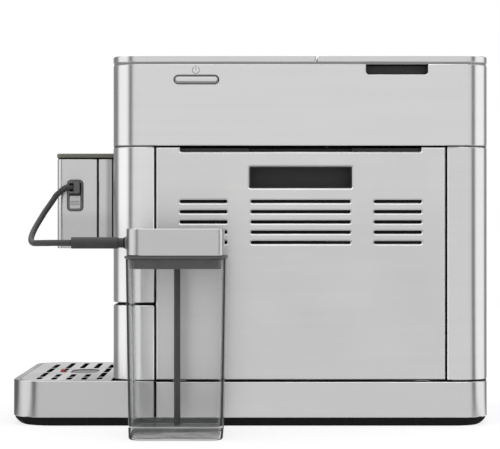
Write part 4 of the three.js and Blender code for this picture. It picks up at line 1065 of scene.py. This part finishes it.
# Milk container: glass, dark band and steel lid
jugSettings = {
    "corner": 12,
    "wall": 3,
    "taper": 2.5,  # narrower at the foot, each side
    "footEdge": 2.6,
    "groove": 12.2,  # fine groove over the thick foot
    "grooveDepth": 0.7,
    "grooveHalf": 1.2,
    "floor": 7.9,
    "floorFillet": 4.8,
    "rim": 0.8,
    "flat": 0.995,  # walls, by their normal; the rest is the dark corners
    "core": (0.4, 0.5),  # body of the foot, inside the wall and below the floor
}


def makeJug(s):
    x, y, z = boxOf("milk_jug")

    def outer(by, height):
        inward = by + s["taper"] * (1 - height / z[1])
        return cornerRing(inset(x, inward), inset(y, inward), s["corner"] - by, height)

    rim, wall, fillet = s["rim"], s["wall"], s["floorFillet"]
    rings = [outer(top, side) for side, top in quarterRound(s["footEdge"], 5)]
    rings += [outer(s["grooveDepth"] * math.cos(math.pi / 2 * i / 4), s["groove"] + s["grooveHalf"] * i / 4)
              for i in range(-4, 5)]
    rings += [outer(side, z[1] - top) for side, top in quarterRound(rim, 3)]
    firstInside = len(rings) - 1  # counted from the top of the rim
    rings += [outer(wall - top, z[1] - side) for side, top in quarterRound(rim, 3)]
    rings += [outer(wall + side, s["floor"] + top) for side, top in quarterRound(fillet, 6)]
    count, last = len(rings[0]), len(rings) - 1

    def choose(face):
        ring, height = face.index // count, face.center.z / mm
        if firstInside <= ring < last or face.index == last * count + 1:
            return 2 if height < s["floor"] + fillet else 1
        # The groove's faces get pale glass, a painted highlight
        if ring < last and abs(height - s["groove"]) < 0.5:
            return 3
        return 4 if max(abs(face.normal.x), abs(face.normal.y)) < s["flat"] else 0

    mesh = loftMesh("jugGlass", rings, degrees=60)
    addPiece("jugGlass", mesh, "glass", "container", ["milk_jug"])
    dressFaces(mesh, ["glassInside", "glassFloor", "glassGrooveHighlight", "glassCorner"], choose)
    core, rise = wall + s["core"][0], s["floor"] - s["core"][1]
    inward = core + s["taper"]
    rings = [cornerRing(inset(x, inward + by), inset(y, inward + by), s["corner"] - core - by, height)
             for by, height in ((1.5, 0.9), (0.4, 1.4), (0, 2.4),
                                (0, rise - 1.2), (0.5, rise - 0.4), (1.6, rise))]
    addPiece("jugFootCore", loftMesh("jugFootCore", rings, degrees=60), "glassFoot", "container")


makeJug(jugSettings)


# Black ring and grey boss where the connector meets the lid
ringSettings = {
    "axis": (166.0, 183.8),
    "rings": [  # name, finish, Y, radius
        ("connectorRing", "seal", (-120.8, -119.2), 5.3),
        ("connectorBoss", "port", (-119.2, -115.2), 6.2),
    ],
    "bore": 4.4,
    "round": 0.4,
    "sides": 36,
}


def makeConnectorRings(s):
    cx, cz = s["axis"]
    bore, fold = s["bore"], s["round"]
    for name, finish, (y0, y1), radius in s["rings"]:
        inner = radius - fold
        outline = [(bore, y0), (inner, y0), (radius, y0 + fold), (radius, y1 - fold), (inner, y1), (bore, y1)]
        rings = []
        for i in range(s["sides"]):
            angle = 2 * math.pi * i / s["sides"]
            rings.append([(cx + far * math.cos(angle), y, cz + far * math.sin(angle)) for far, y in outline])
        mesh = facedOut(loftMesh(name, rings, closedLoop=True))
        addPiece(name, mesh, finish, "container_lid")


makeConnectorRings(ringSettings)


def makeJugTop():
    roundedCopy("jugBand", "jug_band", "band", 0.12, clamped=True)
    roundedCopy("jugLid", "jug_lid", "steelLid", 0.8, segments=3)


makeJugTop()
print("milk container made")


# Power symbol over the button: a thin printed ring with its stroke
symbolSettings = {
    "middle": (-54.2, 356.0),
    "radius": 3.55,
    "line": 0.29,  # half of its width
    "gap": 34,  # degrees, on both sides of the stroke
    "stroke": (0.1, 1.35),  # its ends, as shares of the radius
    "proud": 0.06,
    "steps": 40,
}


def makePowerSymbol(s):
    face, line = boxOf("upper_shell")[0][1], s["line"]
    back, front = face - s["proud"], face + s["proud"]
    y0, z0 = s["middle"]
    section = ((back, -line), (front, -line), (front, line), (back, line))
    arc = []
    for step in range(s["steps"] + 1):
        angle = math.radians(90 + s["gap"] + (360 - 2 * s["gap"]) * step / s["steps"])
        arc.append([(x, y0 + (s["radius"] + out) * math.cos(angle),
                     z0 + (s["radius"] + out) * math.sin(angle)) for x, out in section])
    stroke = [[(x, y0 + out, z0 + share * s["radius"]) for x, out in section] for share in s["stroke"]]
    mesh = facedOut(loftMesh("powerSymbol", arc, stroke, degrees=20))
    addPiece("powerSymbol", mesh, "print", "machine")


makePowerSymbol(symbolSettings)


# Screw heads on the rear shell, spread by geometry nodes over a mesh of points
screwSettings = {
    "across": (-170, 25),
    "levels": (60, 162, 264),
    "middleLevels": (60,),
    "radius": 3.2,
    "height": 1.5,
    "slot": 0.9,
    "slotLength": 1.25,  # of the radius
    "slotDepth": 0.9,  # of the height
    "sides": 24,
    "sunk": 0.5,
    "seed": 7,
}


def screwTree(s):
    tree = bpy.data.node_groups.new("screwHeads", "GeometryNodeTree")
    for way in ("INPUT", "OUTPUT"):
        tree.interface.new_socket("Geometry", in_out=way, socket_type="NodeSocketGeometry")
    kinds = {"Radius": "Float", "Height": "Float", "Slot Width": "Float", "Seed": "Int"}
    for name, kind in kinds.items():
        tree.interface.new_socket(name, in_out="INPUT", socket_type="NodeSocket" + kind)
    nodes = Nodes(tree)

    def vector(x, y, z):
        return nodes.node("ShaderNodeCombineXYZ", None, {"X": x, "Y": y, "Z": z})

    points, radius, height, slot, seed = (nodes.node("NodeGroupInput", output=name)
                                          for name in ("Geometry", *kinds))
    head = nodes.node("GeometryNodeMeshCylinder", {"fill_type": "NGON"}, {
        "Vertices": s["sides"], "Radius": radius, "Depth": height})
    length, deep = radius * s["slotLength"], height * s["slotDepth"]
    lift = vector(0.0, 0.0, height * 0.5)
    bars = [nodes.node("GeometryNodeTransform", None, {
        "Geometry": nodes.node("GeometryNodeMeshCube", None, {"Size": size}), "Translation": lift})
        for size in (vector(length, slot, deep), vector(slot, length, deep))]
    cut = nodes.node("GeometryNodeMeshBoolean", {"operation": "DIFFERENCE"}, {"Mesh 1": head, "Mesh 2": bars})
    spin = nodes.node("FunctionNodeRandomValue", {"data_type": "FLOAT"}, {"Seed": seed}, output=1)
    spread = nodes.node("GeometryNodeInstanceOnPoints", None, {
        "Points": points, "Instance": cut, "Rotation": vector(-math.pi / 2, spin * (math.pi / 2), 0.0)})
    real = nodes.node("GeometryNodeRealizeInstances", None, {"Geometry": spread})
    dressed = nodes.node("GeometryNodeSetMaterial", None, {"Geometry": real, "Material": finishes["metal"]})
    nodes.node("NodeGroupOutput", None, {"Geometry": dressed})
    return tree


def makeScrews(s):
    back = boxOf("rear_shell")[1][1] + s["height"] / 2 - s["sunk"]
    middle = sum(s["across"]) / 2
    spots = [(x, back, z) for x in s["across"] for z in s["levels"]]
    spots += [(middle, back, z) for z in s["middleLevels"]]
    mesh = bpy.data.meshes.new("rearScrews")
    mesh.from_pydata([Vector(spot) * mm for spot in spots], [], [])
    piece = bpy.data.objects.new("rearScrews", mesh)
    scene.collection.objects.link(piece)
    spread = piece.modifiers.new("heads", "NODES")
    spread.node_group = screwTree(s)
    given = {"Radius": s["radius"] * mm, "Height": s["height"] * mm, "Slot Width": s["slot"] * mm,
             "Seed": s["seed"]}
    for socket in spread.node_group.interface.items_tree:
        if socket.name in given:
            spread[socket.identifier] = given[socket.name]
    applied(piece)
    smoothed(piece.data, 40)
    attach(piece, bodyOf("rear_shell"))
    print("screw heads:", len(spots), "with", len(piece.data.polygons), "faces")


makeScrews(screwSettings)


# Floor and light: a pale sweep under a soft, even studio sky
studioSettings = {
    "floorSize": 6,  # metres
    "floorTone": 0.86,
    "floorGlow": 0.75,  # share of the floor that stays white in the picture
    "front": 0.203,  # of the machine, where the floor's screens begin
    "rear": 0.21,
    "middle": 0.04,
    "floorScreens": 1.28,
    "skyScreens": 1.36,
    "overhead": 1.75,
    "overheadFrom": (0.45, 0.8),
    "screens": [  # share of a full turn (0.5 is the door's side, 0.25 the front), level
        (0, 0.62), (0.05, 0.55), (0.083, 0.24), (0.183, 0.24), (0.211, 1.0), (0.339, 1.0), (0.352, 0.3),
        (0.36, 0.1), (0.384, 0.1), (0.398, 0.74), (0.645, 0.74), (0.654, 0.1), (0.683, 0.1), (0.70, 1.0),
        (0.835, 1.0), (0.855, 0.24), (0.905, 0.24), (0.95, 0.55), (1, 0.62),
    ],
}


def screenLevel(shade, s, x, y):
    turn = shade.maths("ARCTAN2", y, x)
    return shade.ramp(turn * (0.5 / math.pi) + 0.5, *s["screens"])


def makeFloor(s):
    half = s["floorSize"] / 2
    mesh = bpy.data.meshes.new("floor")
    corners = [(-half, -half, 0), (half, -half, 0), (half, half, 0), (-half, half, 0)]
    mesh.from_pydata(corners, [], [(0, 1, 2, 3)])
    floor = bpy.data.objects.new("floor", mesh)
    scene.collection.objects.link(floor)
    material = bpy.data.materials.new("floor")
    material.use_nodes = True
    shade = Nodes(material.node_tree)
    camera, glossy, through = (shade.node("ShaderNodeLightPath", output=name)
                               for name in ("Is Camera Ray", "Is Glossy Ray", "Is Transmission Ray"))
    seen = shade.maths("ADD", camera + glossy, through, use_clamp=True)
    # Reflected in the steel, the floor carries on the screens that stand round it
    y = shade.ownPlace("Y")
    beyond = shade.maths("MINIMUM", y + s["front"], 0.0) + shade.maths("MAXIMUM", y - s["rear"], 0.0)
    screens = screenLevel(shade, s, shade.ownPlace("X") - s["middle"], beyond) * s["floorScreens"]
    matt = shade.node("ShaderNodeBsdfDiffuse", None, {"Color": grey(s["floorTone"])})
    strength = glossy * (screens - 1.0) + 1.0
    glow = shade.node("ShaderNodeEmission", None, {"Color": grey(1), "Strength": strength})
    share = shade.maths("MAXIMUM", seen * s["floorGlow"], glossy)
    mixed = shade.node("ShaderNodeMixShader", None, {0: share, 1: matt, 2: glow})
    shade.node("ShaderNodeOutputMaterial", None, {"Surface": mixed})
    mesh.materials.append(material)


def makeSky(s):
    world = bpy.data.worlds.new("studio")
    scene.world = world
    world.use_nodes = True
    shade = Nodes(world.node_tree)
    direction = shade.node("ShaderNodeTexCoord", output="Generated")
    x, y, z = (shade.node("ShaderNodeSeparateXYZ", None, {"Vector": direction}, output=axis)
               for axis in "XYZ")
    high = shade.blend(z, *s["overheadFrom"])
    lit = screenLevel(shade, s, x, y) * s["skyScreens"] * (1 - high) + high * s["overhead"]
    seen = shade.node("ShaderNodeLightPath", output="Is Camera Ray")
    sky, white = (shade.node("ShaderNodeBackground", None, {"Color": grey(1), "Strength": strength})
                  for strength in (lit, 1.0))
    mixed = shade.node("ShaderNodeMixShader", None, {0: seen, 1: sky, 2: white})
    shade.node("ShaderNodeOutputWorld", None, {"Surface": mixed})


makeFloor(studioSettings)
makeSky(studioSettings)
scene.view_settings.view_transform = "Standard"
print("studio made")
